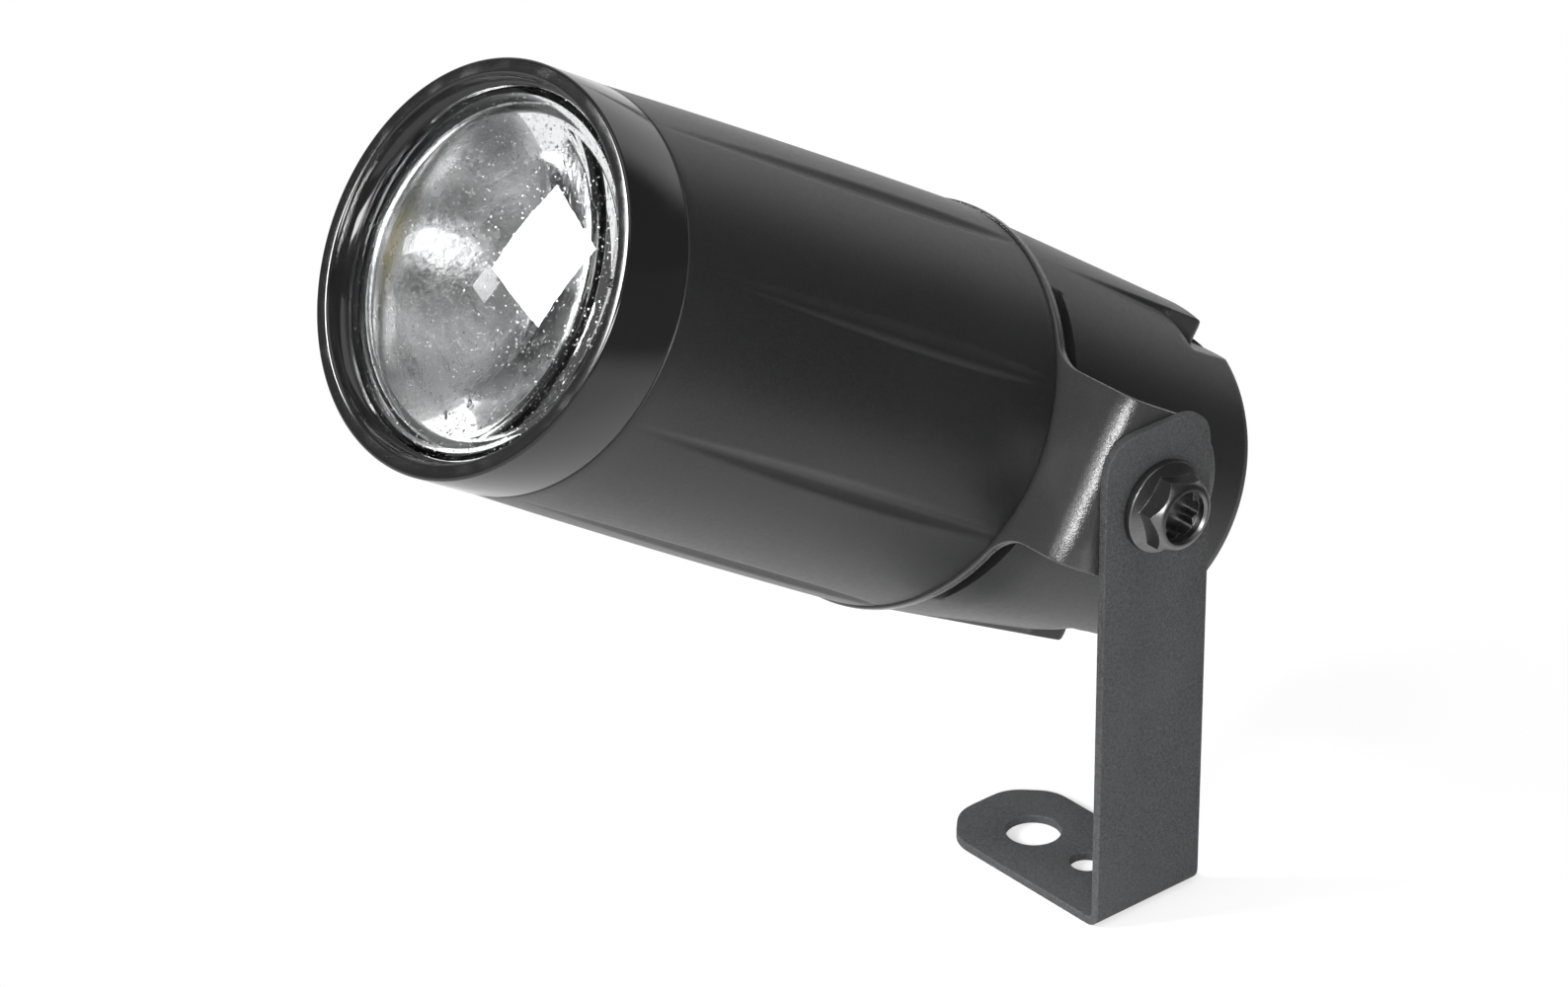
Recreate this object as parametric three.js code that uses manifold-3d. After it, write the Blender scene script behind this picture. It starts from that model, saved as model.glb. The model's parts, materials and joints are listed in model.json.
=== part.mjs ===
// A pinspot lamp on a one-sided tilting bracket.
// Millimetres, +Z up. The origin is on the underside of the bracket's foot, between its two holes.
// The bracket's arm stands on the +X side, and the beam leaves towards -Y, tilted up by restTilt.
import * as THREE from 'three';
import { mergeVertices } from 'three/addons/utils/BufferGeometryUtils.js';
import Module from 'manifold-3d';

const wasm = await Module();
wasm.setup();

// Pose of the lamp, in degrees above the horizontal
const restTilt = 31.5;

// Clearances
const seatGap = 0.25;
const faceGap = 0.2;
const tiltGap = 0.3;
const looseFit = 0.3;
const overrun = 3;
const weldDistance = 0.0001;

// Facets round a full turn
const caseSteps = 80;
const roundSteps = 40;
const smallSteps = 20;
const tinySteps = 10;
const arcSteps = 5;

// Sheet steel of the bracket and of the mounting ring
const sheet = 1.8;
const bendRadius = 3;

// Bracket
const armWidth = 26;
const pivotHeight = 86.7;
const armTopReach = 16;
const armCornerRadius = 8;
const footLength = 46.8;
const footCornerCut = 6.8;
const footCornerSoftness = 3.5;
const footBoltInset = 32;
const footBoltHoleRadius = 5.4;
const footPinInset = 17;
const footPinHoleRadius = 3.25;

// Clamp bolt, nut and lock washer
const boltRadius = 4;
const boltLength = 14;
const boltHoleRadius = 4.4;
const boltHexFlats = 13;
const boltFlangeRadius = 8.95;
const boltFlangeRim = 1.8;
const boltFlangeRise = 1;
const boltHeadHeight = 7.2;
const boltHexChamfer = 0.9;
const boltTurn = 46.4;
const recessWallRadius = 4.8;
const recessRibHeight = 1.2;
const recessRibTurn = 13.6;
const recessRibSharpness = 3;
const recessDepth = 4.2;
const nutHeight = 6.5;
const nutBoreRadius = 4.15;
const lockWasherRadius = 7.2;
const lockWasherThickness = 2;
const lockWasherSlit = 1.4;

// Cable gland
const glandThreadRadius = 8;
const glandHoleRadius = glandThreadRadius + looseFit;
const glandFlangeWall = 1.5;
const glandFlats = 2 * (glandThreadRadius + glandFlangeWall);
const glandFlange = 4;
const glandCollarStep = 0.4;
const glandCollarRadius = glandThreadRadius - glandCollarStep;
const glandCollarLength = 7;
const glandCollarWall = 2;
const glandBore = glandCollarRadius - glandCollarWall;
const glandSealRadius = glandBore - looseFit;
const glandSealWall = 1.6;
const glandSealBore = glandSealRadius - glandSealWall;
const glandSealLength = 8;
const glandNutStep = 1;
const glandNutFlats = glandFlats - glandNutStep;
const glandNutLength = 11;
const glandMouthStep = 0.9;
const glandNutMouth = glandSealBore + glandMouthStep;
const glandNutLip = 2;
const glandLocknutFlats = glandFlats + glandNutStep;
const glandLocknutHeight = 4;
const glandThreadReach = 8;

// Screws
const screwClearance = 0.3;
const housingScrewCount = 4;
const housingScrewRadius = 2;
const housingScrewHeadRadius = 3.5;
const housingScrewHeadHeight = 2.6;
const housingScrewRecess = 3;
const housingScrewBite = 12;
const coverScrewCount = 3;
const coverScrewRadius = 1.5;
const coverScrewHeadRadius = 2.8;
const coverScrewHeadHeight = 1.6;
const coverScrewLength = 7;
const boardScrewRadius = 1.5;
const boardScrewHeadRadius = 2.6;
const boardScrewHeadHeight = 1.8;
const boardScrewLength = 6;

// Rear cover: it carries the gland, with its screws round the gland's flange
const coverRim = 10;
const coverRadius = glandFlats / Math.sqrt(3) + coverRim;
const coverThickness = 2.5;
const coverLedgeWidth = 2.6;
const coverLedgeRadius = coverRadius - coverLedgeWidth;
const coverSealThickness = 0.8;
const coverSealWidth = 2.2;
const coverScrewInset = 4;
const coverScrewCircle = coverRadius - coverScrewInset;
const coverBossRadius = 3.6;
const coverBossLength = 7;
const earthScrewInset = 6;
const earthScrewOffset = coverRadius - earthScrewInset;
const earthScrewAngle = 30;

// Long screws that join the housings through the ring, from recesses in the rear face
const coverWall = 1;
const bossCircle = coverRadius + seatGap + coverWall + housingScrewHeadRadius + screwClearance;
const bossRadius = 4.2;
const bossWeb = 3;
const frontBossLength = 16;

// Driver board and what it carries
const boardThickness = 1.6;
const boardDrop = 9;
const boardEndRoom = 5.8;
const boardFrontRoom = 7.35;
const boardPartGap = 3.15;
const carrierThickness = 2;
const carrierPost = 3;
const carrierPostRadius = 3;
const carrierScrewRadius = 1.25;
const carrierScrewHeadRadius = 2.4;
const carrierScrewHeadHeight = 1.4;
const carrierScrewLength = 4.5;
const transformerWidth = 18;
const transformerLength = 15;
const transformerHeight = 13;
const bobbinHeight = 8;
const bobbinOverhang = 2;
const capacitorRadius = 5;
const capacitorHeight = 15;
const smallCapacitorRadius = 4;
const smallCapacitorHeight = 11;
const capacitorSpacing = 1.6;
const rectifierWidth = 8;
const rectifierLength = 4;
const rectifierHeight = 9;
const rectifierGap = 1.4;
const rectifierEdgeRoom = 1.6;
const rectifierOffset = transformerWidth / 2 + rectifierGap + rectifierWidth / 2;
const boardWidth = 2 * (rectifierOffset + rectifierWidth / 2 + rectifierEdgeRoom);
const terminalWidth = 15;
const terminalLength = 8;
const terminalHeight = 9;
const terminalSlot = 3;
const terminalWays = 3;
const terminalScrewGap = 0.1;
const carrierScrewOffset = terminalWidth / 2 + terminalScrewGap + carrierScrewHeadRadius;
const carrierWidth = 2 * (carrierScrewOffset + carrierPostRadius);
const capacitorRoom = capacitorSpacing + 2 * capacitorRadius + boardPartGap;
const boardLength = transformerLength + 2 * bobbinOverhang + capacitorRoom + terminalLength + seatGap;

// Rear housing: its end takes the cover and the screws' recesses, and its length the driver board
const rearLength = faceGap + coverThickness + glandThreadReach + boardEndRoom + boardLength + boardFrontRoom;
const recessWall = 1.1;
const rearEndRadius = bossCircle + housingScrewHeadRadius + screwClearance + recessWall;
const rearTaper = 7.4;
const rearFrontRadius = rearEndRadius + rearTaper;
const rearFrontWall = 4.5;
const rearBoreFront = rearFrontRadius - rearFrontWall;
const rearBoreWall = 4.4;
const rearBoreEnd = rearEndRadius - rearBoreWall;
const rearBoreStraight = 14;
const rearWall = 3;
const rearEndWall = 7;
const ribHalfWidth = 14.4;
const ribTipHalfWidth = 7.4;
const ribCorner = 2.5;
const ribEndStep = 2.55;
const ribLength = rearLength - ribEndStep;
const ribTaper = 3.7;
const ribEndRadius = rearFrontRadius - ribTaper;
const ribFlatDepth = 1.8;
const ribFlatHeight = rearEndRadius - ribFlatDepth;
const ribFlatLength = 15.5;
const lugNotchHalfAngle = 54;
const lugNotchLength = 4.6;
const lugNotchDepth = 2.2;
const lugNotchFloorRadius = rearFrontRadius - lugNotchDepth;
const lugNotchFadeShare = 0.16;

// Turn of both housings about the lamp axis, in degrees from the pivot line
const caseTurn = 3;

// Front housing
const frontLength = 99.15;
const housingStep = 0.6;
const frontRearRadius = rearFrontRadius + housingStep;
const frontTaper = 1.5;
const frontFrontRadius = frontRearRadius - frontTaper;
const frontEdge = 0.6;
const neckStep = 2.4;
const neckRadius = frontFrontRadius - neckStep;
const throatWall = 2.5;
const throatRadius = neckRadius - throatWall;
const throatLength = 5;
const serviceWall = 3.7;
const serviceBoreRadius = frontRearRadius - serviceWall;
const sinkShoulderStep = 1.4;
const opticsBoreRadius = serviceBoreRadius - sinkShoulderStep;
const opticsBoreLength = 48;
const fluteDepth = 0.9;
const fluteCount = 8;
const fluteRearShare = 0.7;
const fluteFrontShare = 1.3;
const frontRingShares = [0.08, 0.2, 0.34, 0.5, 0.66, 0.82, 0.93];

// Seals in the rabbets at the housings' ends
const sealDepth = 1.2;
const sealThickness = 1;
const sealWidth = 0.8;
const frontSealWall = 1.6;
const frontSealRadius = frontRearRadius - frontSealWall;
const rearSealWall = 3.1;
const rearSealRadius = rearFrontRadius - rearSealWall;

// Mounting ring
const ringRim = 1;
const ringRadius = rearFrontRadius + ringRim;
const ringBoreWall = 1.3;
const ringBoreRadius = bossCircle - bossRadius - ringBoreWall;
const ringFront = 15.4;
const lugHalfWidth = 16.4;
const lugFilletRadius = 8;
const lugRootOverlap = 4;

// Lamp axis, measured from the arm's outer face and from the pivot
const lugStandOff = 17;
const armToLampAxis = rearFrontRadius + lugStandOff;
const lampAxisDrop = 4.3;

// Bezel
const bezelStep = 0.1;
const bezelRadius = frontFrontRadius + bezelStep;
const bezelLength = 14.75;
const bezelEdge = 0.5;
const bezelMouthWall = 2.5;
const bezelMouthRadius = bezelRadius - bezelMouthWall;
const bezelLipWall = 4.1;
const bezelLipRadius = bezelRadius - bezelLipWall;
const bezelLipDepth = 3.8;
const bezelLipThickness = 1;

// Front lens and its gasket
const lensClearance = 0.2;
const lensRadius = neckRadius - lensClearance;
const lensEdge = 2.2;
const lensFrontSag = 4.9;
const lensRearSag = 9;
const lensSteps = 5;
const lensGasketThickness = 0.7;
const lensGasketWidth = 2.2;
const lensGasketBore = lensRadius - lensGasketWidth;

// Baffle ring behind the lens
const baffleRadius = throatRadius - looseFit;
const baffleWall = 2.6;
const baffleBore = baffleRadius - baffleWall;
const baffleLength = 7;

// Reflector
const reflectorWall = 1.2;
const reflectorInset = 3;
const reflectorMouth = opticsBoreRadius - reflectorInset;
const reflectorThroat = 9;
const reflectorLength = 39.5;
const reflectorClearance = 0.4;
const reflectorFlange = opticsBoreRadius - reflectorClearance;
const reflectorFlangeThickness = 1.4;
const reflectorSteps = 6;

// Light engine: the holder goes round the emitter, and the board's screws round the holder
const ledRadius = 7;
const ledBase = 1;
const ledBaseRim = 2;
const ledDomeRadius = ledRadius - ledBaseRim;
const ledDomeHeight = 1.6;
const ledHolderRoom = 2.6;
const ledHolderBore = ledRadius + ledHolderRoom;
const ledHolderWall = 4.4;
const ledHolderRadius = ledHolderBore + ledHolderWall;
const ledHolderHeight = 3.4;
const boardScrewRoom = 0.6;
const boardScrewCircle = ledHolderRadius + boardScrewRoom + boardScrewHeadRadius;
const boardScrewInset = 3.8;
const ledBoardRadius = boardScrewCircle + boardScrewInset;
const ledBoardThickness = 1.6;
const padThickness = 0.5;
const leadRadius = 1;
const leadOffset = 4;
const leadRoom = 3.5;
const leadCircle = ledBoardRadius + leadRoom;
const leadHoleClearance = 0.6;
const leadSides = 6;
const leadRise = 5;

// Heat sink and its retaining ring
const sinkRadius = serviceBoreRadius - looseFit;
const sinkPlate = 6;
const sinkLength = 27;
const finThickness = 2;
const finPitch = 8;
const finCount = 7;
const finInset = 1.2;
const clipThickness = 1.2;
const clipWidth = 2.6;
const clipGrooveDepth = 1.2;
const clipOpening = 12;

// Finishes
const finishes = {
  castBlack: { color: 0x1c1d1e, roughness: 0.5, metalness: 0.3 },
  glossBlack: { color: 0x0d0d0e, roughness: 0.18, metalness: 0.3 },
  powderGrey: { color: 0x3a3b3c, roughness: 0.62, metalness: 0.2 },
  darkSteel: { color: 0x4a4b4d, roughness: 0.35, metalness: 0.9 },
  bareSteel: { color: 0xa9abad, roughness: 0.35, metalness: 1 },
  bareAluminium: { color: 0xb9bbbe, roughness: 0.4, metalness: 1 },
  mirror: { color: 0xe4e5e6, roughness: 0.08, metalness: 1 },
  glass: { color: 0xf2f5f6, roughness: 0.02, metalness: 0 },
  rubber: { color: 0x161616, roughness: 0.85, metalness: 0 },
  blackPlastic: { color: 0x17181a, roughness: 0.55, metalness: 0 },
  whitePlastic: { color: 0xe9e8e3, roughness: 0.5, metalness: 0 },
  circuitGreen: { color: 0x1f5a36, roughness: 0.45, metalness: 0 },
  phosphor: { color: 0xe8c542, roughness: 0.5, metalness: 0 },
  padGrey: { color: 0x8d9296, roughness: 0.8, metalness: 0 },
  ferrite: { color: 0x2b2b2d, roughness: 0.7, metalness: 0 },
  yellowTape: { color: 0xd9a520, roughness: 0.6, metalness: 0 },
  redWire: { color: 0x9e1b1b, roughness: 0.5, metalness: 0 },
  blackWire: { color: 0x141414, roughness: 0.5, metalness: 0 },
  terminalGreen: { color: 0x2d7d4a, roughness: 0.5, metalness: 0 },
};

// Directions for prisms and turned pieces: x takes outlines in (y, z), y in (z, x), z in (x, y)
const bases = {
  x: new THREE.Matrix4().makeBasis(
    new THREE.Vector3(0, 1, 0), new THREE.Vector3(0, 0, 1), new THREE.Vector3(1, 0, 0)),
  y: new THREE.Matrix4().makeBasis(
    new THREE.Vector3(0, 0, 1), new THREE.Vector3(1, 0, 0), new THREE.Vector3(0, 1, 0)),
  z: new THREE.Matrix4(),
};

// Geometry helpers

function weld(geometry) {
  const bare = geometry.clone();
  bare.deleteAttribute('normal');
  bare.deleteAttribute('uv');
  const merged = mergeVertices(bare, weldDistance);
  const corners = merged.index.array;
  const kept = [];
  for (let i = 0; i < corners.length; i += 3) {
    const [a, b, c] = corners.slice(i, i + 3);
    if (a !== b && b !== c && c !== a) kept.push(a, b, c);
  }
  merged.setIndex(kept);
  return merged;
}

function solid(geometry) {
  const welded = weld(geometry);
  return new wasm.Manifold(new wasm.Mesh({
    numProp: 3,
    vertProperties: new Float32Array(welded.attributes.position.array),
    triVerts: new Uint32Array(welded.index.array),
  }));
}

function geometryOf(body) {
  const mesh = body.getMesh();
  const geometry = new THREE.BufferGeometry();
  geometry.setAttribute('position', new THREE.BufferAttribute(mesh.vertProperties, 3));
  geometry.setIndex(new THREE.BufferAttribute(mesh.triVerts, 1));
  return geometry;
}

function union(...bodies) {
  return bodies.reduce((whole, body) => whole.add(body));
}

function cut(body, ...cutters) {
  return cutters.reduce((whole, cutter) => whole.subtract(cutter), body);
}

// A closed profile of [radius, along] points, turned about an axis. Outer walls run forwards.
function turned(axis, profile, steps = roundSteps) {
  const points = profile.map(([radius, along]) => new THREE.Vector2(radius, along));
  if (profile[0][0] > 0) points.push(points[0].clone());
  const geometry = new THREE.LatheGeometry(points, steps);
  geometry.rotateX(Math.PI / 2);
  return geometry.applyMatrix4(bases[axis]);
}

function disc(axis, radius, from, to, steps = roundSteps) {
  return turned(axis, [[0, from], [radius, from], [radius, to], [0, to]], steps);
}

function hoop(axis, inner, outer, from, to, steps = roundSteps) {
  return turned(axis, [[inner, from], [outer, from], [outer, to], [inner, to]], steps);
}

function prism(axis, shape, from, to) {
  const geometry = new THREE.ExtrudeGeometry(shape, {
    depth: to - from, bevelEnabled: false, curveSegments: arcSteps,
  });
  geometry.translate(0, 0, from);
  return geometry.applyMatrix4(bases[axis]);
}

// A box between two corners
function block([x0, y0, z0], [x1, y1, z1]) {
  const geometry = new THREE.BoxGeometry(x1 - x0, y1 - y0, z1 - z0);
  return geometry.translate((x0 + x1) / 2, (y0 + y1) / 2, (z0 + z1) / 2);
}

// A polygon whose corners are softened by the distances given with its points
function softShape(points) {
  const shape = new THREE.Shape();
  points.forEach(([x, y, softness], i) => {
    const here = new THREE.Vector2(x, y);
    const before = new THREE.Vector2(...points[(i + points.length - 1) % points.length]);
    const after = new THREE.Vector2(...points[(i + 1) % points.length]);
    const start = here.clone().add(before.sub(here).setLength(softness));
    const end = here.clone().add(after.sub(here).setLength(softness));
    if (i === 0) shape.moveTo(start.x, start.y);
    else shape.lineTo(start.x, start.y);
    if (softness > 0) shape.quadraticCurveTo(x, y, end.x, end.y);
  });
  shape.closePath();
  return shape;
}

function hexagon(flats) {
  const corner = flats / Math.sqrt(3);
  const points = [];
  for (let i = 0; i < 6; i += 1) {
    const angle = (i * Math.PI) / 3;
    points.push([corner * Math.cos(angle), corner * Math.sin(angle), 0]);
  }
  return softShape(points);
}

function onCircle(radius, degrees) {
  const angle = THREE.MathUtils.degToRad(degrees);
  return [radius * Math.cos(angle), radius * Math.sin(angle)];
}

// Round posts along Z at [x, y] places
function posts(places, radius, from, to, steps = smallSteps) {
  return places.map(([x, y]) => solid(disc('z', radius, from, to, steps).translate(x, y, 0)));
}

// Cutters for round holes through a wall along Z
function drills(places, radius, from, to) {
  return posts(places, radius, from - overrun, to + overrun, tinySteps);
}

function piece(group, name, geometry, finish) {
  const welded = weld(geometry);
  welded.computeVertexNormals();
  const mesh = new THREE.Mesh(welded, new THREE.MeshStandardMaterial(finishes[finish]));
  mesh.name = name;
  group.add(mesh);
  return mesh;
}

// Stations along the lamp axis, counted from the pivot towards the lens
const ringRear = ringFront - sheet;
const frontRear = ringFront + seatGap;
const seam = frontRear + frontLength;
const bezelRear = seam + seatGap;
const bezelFront = bezelRear + bezelLength;
const lipFront = bezelFront - bezelLipDepth;
const lipRear = lipFront - bezelLipThickness;
const lensFront = lipRear - seatGap;
const lensRear = lensFront - lensEdge;
const gasketFront = lensRear - faceGap;
const gasketRear = gasketFront - lensGasketThickness;
const neckFront = gasketRear - faceGap;
const throatRear = seam - throatLength;
const sinkShoulder = throatRear - opticsBoreLength;
const rearFront = ringRear - seatGap;
const rearEnd = rearFront - rearLength;

// The bracket, in the object's own frame

const armOuter = footLength / 2;
const armInner = armOuter - sheet;
const footEnd = armOuter - footLength;
const armTop = pivotHeight + armTopReach;

function bracketSection() {
  const shape = new THREE.Shape();
  const bendX = armOuter - bendRadius;
  shape.moveTo(0, footEnd);
  shape.lineTo(0, bendX);
  shape.absarc(bendRadius, bendX, bendRadius, Math.PI, Math.PI / 2, true);
  shape.lineTo(armTop, armOuter);
  shape.lineTo(armTop, armInner);
  shape.lineTo(bendRadius, armInner);
  shape.absarc(bendRadius, bendX, bendRadius - sheet, Math.PI / 2, Math.PI, false);
  shape.lineTo(sheet, footEnd);
  shape.closePath();
  return shape;
}

function mountingBracket() {
  const half = armWidth / 2;
  const section = solid(prism('y', bracketSection(), -half, half));
  const armOutline = softShape([
    [-half, -overrun, 0],
    [half, -overrun, 0],
    [half, armTop, armCornerRadius],
    [-half, armTop, armCornerRadius],
  ]);
  const footOutline = softShape([
    [footEnd, footCornerCut - half, footCornerSoftness],
    [footEnd + footCornerCut, -half, footCornerSoftness],
    [armOuter + overrun, -half, 0],
    [armOuter + overrun, half, 0],
    [footEnd + footCornerCut, half, footCornerSoftness],
    [footEnd, half - footCornerCut, footCornerSoftness],
  ]);
  const armSlab = solid(prism('x', armOutline, armInner - bendRadius, armOuter + overrun));
  const footSlab = solid(prism('z', footOutline, -overrun, bendRadius + sheet));
  const holeThrough = (radius, inset) => {
    const drill = disc('z', radius, -overrun, sheet + overrun, smallSteps);
    return solid(drill.translate(armOuter - inset, 0, 0));
  };
  const pivotDrill = disc('x', boltHoleRadius, armInner - overrun, armOuter + overrun, smallSteps);
  const plate = cut(
    section.intersect(union(armSlab, footSlab)),
    holeThrough(footBoltHoleRadius, footBoltInset),
    holeThrough(footPinHoleRadius, footPinInset),
    solid(pivotDrill.translate(0, 0, pivotHeight)),
  );
  return geometryOf(plate);
}

// The clamp bolt, along X, counted from the arm's outer face

// A round driver recess with six ribs that stand in from its wall
function recessOutline() {
  const ribTurn = THREE.MathUtils.degToRad(recessRibTurn);
  const steps = 6 * arcSteps;
  const points = [];
  for (let i = 0; i < steps; i += 1) {
    const turn = (i * 2 * Math.PI) / steps + ribTurn;
    const ribShare = ((1 - Math.cos(6 * (turn - ribTurn))) / 2) ** recessRibSharpness;
    const radius = recessWallRadius - recessRibHeight * ribShare;
    points.push([radius * Math.cos(turn), radius * Math.sin(turn), 0]);
  }
  return softShape(points);
}

function clampBolt() {
  const hexStart = boltFlangeRim + boltFlangeRise;
  const hexCorner = boltHexFlats / Math.sqrt(3);
  const shankAndFlange = turned('x', [
    [0, faceGap - boltLength],
    [boltRadius - boltHexChamfer, faceGap - boltLength],
    [boltRadius, faceGap - boltLength + boltHexChamfer],
    [boltRadius, faceGap],
    [boltFlangeRadius, faceGap],
    [boltFlangeRadius, faceGap + boltFlangeRim],
    [boltHexFlats / 2, faceGap + hexStart],
    [0, faceGap + hexStart],
  ], smallSteps);
  const hex = prism('x', hexagon(boltHexFlats), faceGap + boltFlangeRim, faceGap + boltHeadHeight);
  const crown = turned('x', [
    [0, 0],
    [hexCorner, 0],
    [hexCorner, faceGap + boltHeadHeight - boltHexChamfer],
    [boltHexFlats / 2 - boltHexChamfer / 2, faceGap + boltHeadHeight],
    [0, faceGap + boltHeadHeight],
  ], smallSteps);
  const recess = prism('x', recessOutline(), boltHeadHeight - recessDepth, boltHeadHeight + overrun);
  const head = solid(hex).intersect(solid(crown));
  const bolt = geometryOf(cut(union(solid(shankAndFlange), head), solid(recess)));
  return bolt.rotateX(THREE.MathUtils.degToRad(boltTurn));
}

// The mounting ring, its lug, nut and lock washer, in the lamp's frame about the pivot:
// X along the pivot from the lamp axis, Y square to the beam and up, Z along the beam

const lugOuter = armToLampAxis - sheet - tiltGap;
const lugInner = lugOuter - sheet;
const lockWasherOuter = lugInner - faceGap;
const lockWasherInner = lockWasherOuter - lockWasherThickness;
const nutOuter = lockWasherInner - faceGap;

function ringOutline() {
  const reach = ringRadius + lugFilletRadius;
  const bendStart = lugOuter - bendRadius;
  const filletAt = (side) => {
    const y = side * (lugHalfWidth + lugFilletRadius);
    return [Math.sqrt(reach ** 2 - (y + lampAxisDrop) ** 2), y];
  };
  const [topX, topY] = filletAt(1);
  const [lowX, lowY] = filletAt(-1);
  const topAngle = Math.atan2(topY + lampAxisDrop, topX);
  const lowAngle = Math.atan2(lowY + lampAxisDrop, lowX);
  const shape = new THREE.Shape();
  const turns = caseSteps;
  const sweep = 2 * Math.PI + lowAngle - topAngle;
  for (let i = 0; i <= turns; i += 1) {
    const angle = topAngle + (sweep * i) / turns;
    const x = ringRadius * Math.cos(angle);
    const y = ringRadius * Math.sin(angle) - lampAxisDrop;
    if (i === 0) shape.moveTo(x, y);
    else shape.lineTo(x, y);
  }
  shape.absarc(lowX, lowY, lugFilletRadius, lowAngle + Math.PI, Math.PI / 2, true);
  shape.lineTo(bendStart, -lugHalfWidth);
  shape.lineTo(bendStart, lugHalfWidth);
  shape.absarc(topX, topY, lugFilletRadius, -Math.PI / 2, topAngle - Math.PI, true);
  return shape;
}

function lugSection() {
  const bendCentre = [ringFront - bendRadius, lugOuter - bendRadius];
  const rootX = lugOuter - bendRadius - lugRootOverlap;
  const shape = new THREE.Shape();
  shape.moveTo(ringFront, rootX);
  shape.lineTo(ringFront, lugOuter - bendRadius);
  shape.absarc(...bendCentre, bendRadius, 0, Math.PI / 2, false);
  shape.lineTo(-lugHalfWidth, lugOuter);
  shape.lineTo(-lugHalfWidth, lugInner);
  shape.lineTo(ringFront - bendRadius, lugInner);
  shape.absarc(...bendCentre, bendRadius - sheet, Math.PI / 2, 0, true);
  shape.lineTo(ringRear, rootX);
  shape.closePath();
  return shape;
}

function lugOutline() {
  const shape = new THREE.Shape();
  shape.moveTo(lugHalfWidth, ringFront + overrun);
  shape.lineTo(-lugHalfWidth, ringFront + overrun);
  for (let i = 0; i <= smallSteps; i += 1) {
    const angle = Math.PI + (Math.PI * i) / smallSteps;
    shape.lineTo(lugHalfWidth * Math.cos(angle), lugHalfWidth * Math.sin(angle));
  }
  shape.closePath();
  return shape;
}

function housingScrewPlaces() {
  const places = [];
  for (let i = 0; i < housingScrewCount; i += 1) {
    const degrees = (360 / housingScrewCount) * (i + 1 / 2);
    places.push(onCircle(bossCircle, degrees));
  }
  return places;
}

// Posts for the long screws, each with a web out to the housing's wall
function screwBosses(from, to, wallRadius) {
  const webs = housingScrewPlaces().map(([x, y]) => {
    const web = block(
      [bossCircle, -bossWeb / 2, from + sealDepth],
      [wallRadius + bossWeb / 3, bossWeb / 2, to - sealDepth],
    );
    return solid(web.rotateZ(Math.atan2(y, x)));
  });
  return [...posts(housingScrewPlaces(), bossRadius, from, to), ...webs];
}

function mountingRing() {
  const plate = solid(prism('z', ringOutline(), ringRear, ringFront));
  const bentLug = solid(prism('y', lugSection(), -lugHalfWidth, lugHalfWidth));
  const slabFrom = lugInner - bendRadius - lugRootOverlap - overrun;
  const lugSlab = solid(prism('x', lugOutline(), slabFrom, lugOuter + overrun));
  const inRing = ([x, y]) => [x, y - lampAxisDrop];
  const screwPlaces = housingScrewPlaces().map(inRing);
  const boltHole = disc('x', boltHoleRadius, lugInner - overrun, lugOuter + overrun, smallSteps);
  const ring = cut(
    union(plate, bentLug.intersect(lugSlab)),
    ...posts([inRing([0, 0])], ringBoreRadius, ringRear - overrun, ringFront + overrun, roundSteps),
    ...drills(screwPlaces, housingScrewRadius + screwClearance, ringRear, ringFront),
    solid(boltHole),
  );
  return geometryOf(ring);
}

function clampNut() {
  const nut = solid(prism('x', hexagon(boltHexFlats), nutOuter - nutHeight, nutOuter));
  const bore = disc('x', nutBoreRadius, nutOuter - nutHeight - overrun, nutOuter + overrun, smallSteps);
  return geometryOf(cut(nut, solid(bore)));
}

function lockWasher() {
  const ring = hoop('x', boltHoleRadius, lockWasherRadius, lockWasherInner, lockWasherOuter, smallSteps);
  const slit = block(
    [lockWasherInner - overrun, 0, -lockWasherSlit / 2],
    [lockWasherOuter + overrun, lockWasherRadius + overrun, lockWasherSlit / 2],
  );
  return geometryOf(cut(solid(ring), solid(slit)));
}

// The pieces below are turned about the lamp axis, which is their Z

// Outer radius of the front housing, at a share of its length from the rear
function frontRadiusAt(share) {
  return frontRearRadius - (frontRearRadius - frontFrontRadius) * share ** 2;
}

// Depth of a flute as a share of its greatest depth: none at either end, most behind the middle
function fluteFormAt(share) {
  const peak = fluteRearShare / (fluteRearShare + fluteFrontShare);
  const form = (place) => place ** fluteRearShare * (1 - place) ** fluteFrontShare;
  return share <= 0 || share >= 1 ? 0 : form(share) / form(peak);
}

// Presses the flutes into the outer wall of the turned front housing, whose steps meet them
function pressFlutes(geometry) {
  const position = geometry.attributes.position;
  const pitch = (2 * Math.PI) / fluteCount;
  for (let i = 0; i < position.count; i += 1) {
    const x = position.getX(i);
    const y = position.getY(i);
    const radius = Math.hypot(x, y);
    const share = (position.getZ(i) - frontRear) / frontLength;
    const turn = Math.atan2(y, x) / pitch - 1 / 2;
    const offCentre = Math.abs(turn - Math.round(turn)) * pitch;
    if (radius > frontFrontRadius - frontEdge / 2 && offCentre < Math.PI / caseSteps) {
      const scale = 1 - (fluteDepth * fluteFormAt(share)) / radius;
      position.setXY(i, x * scale, y * scale);
    }
  }
  return geometry;
}

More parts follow.
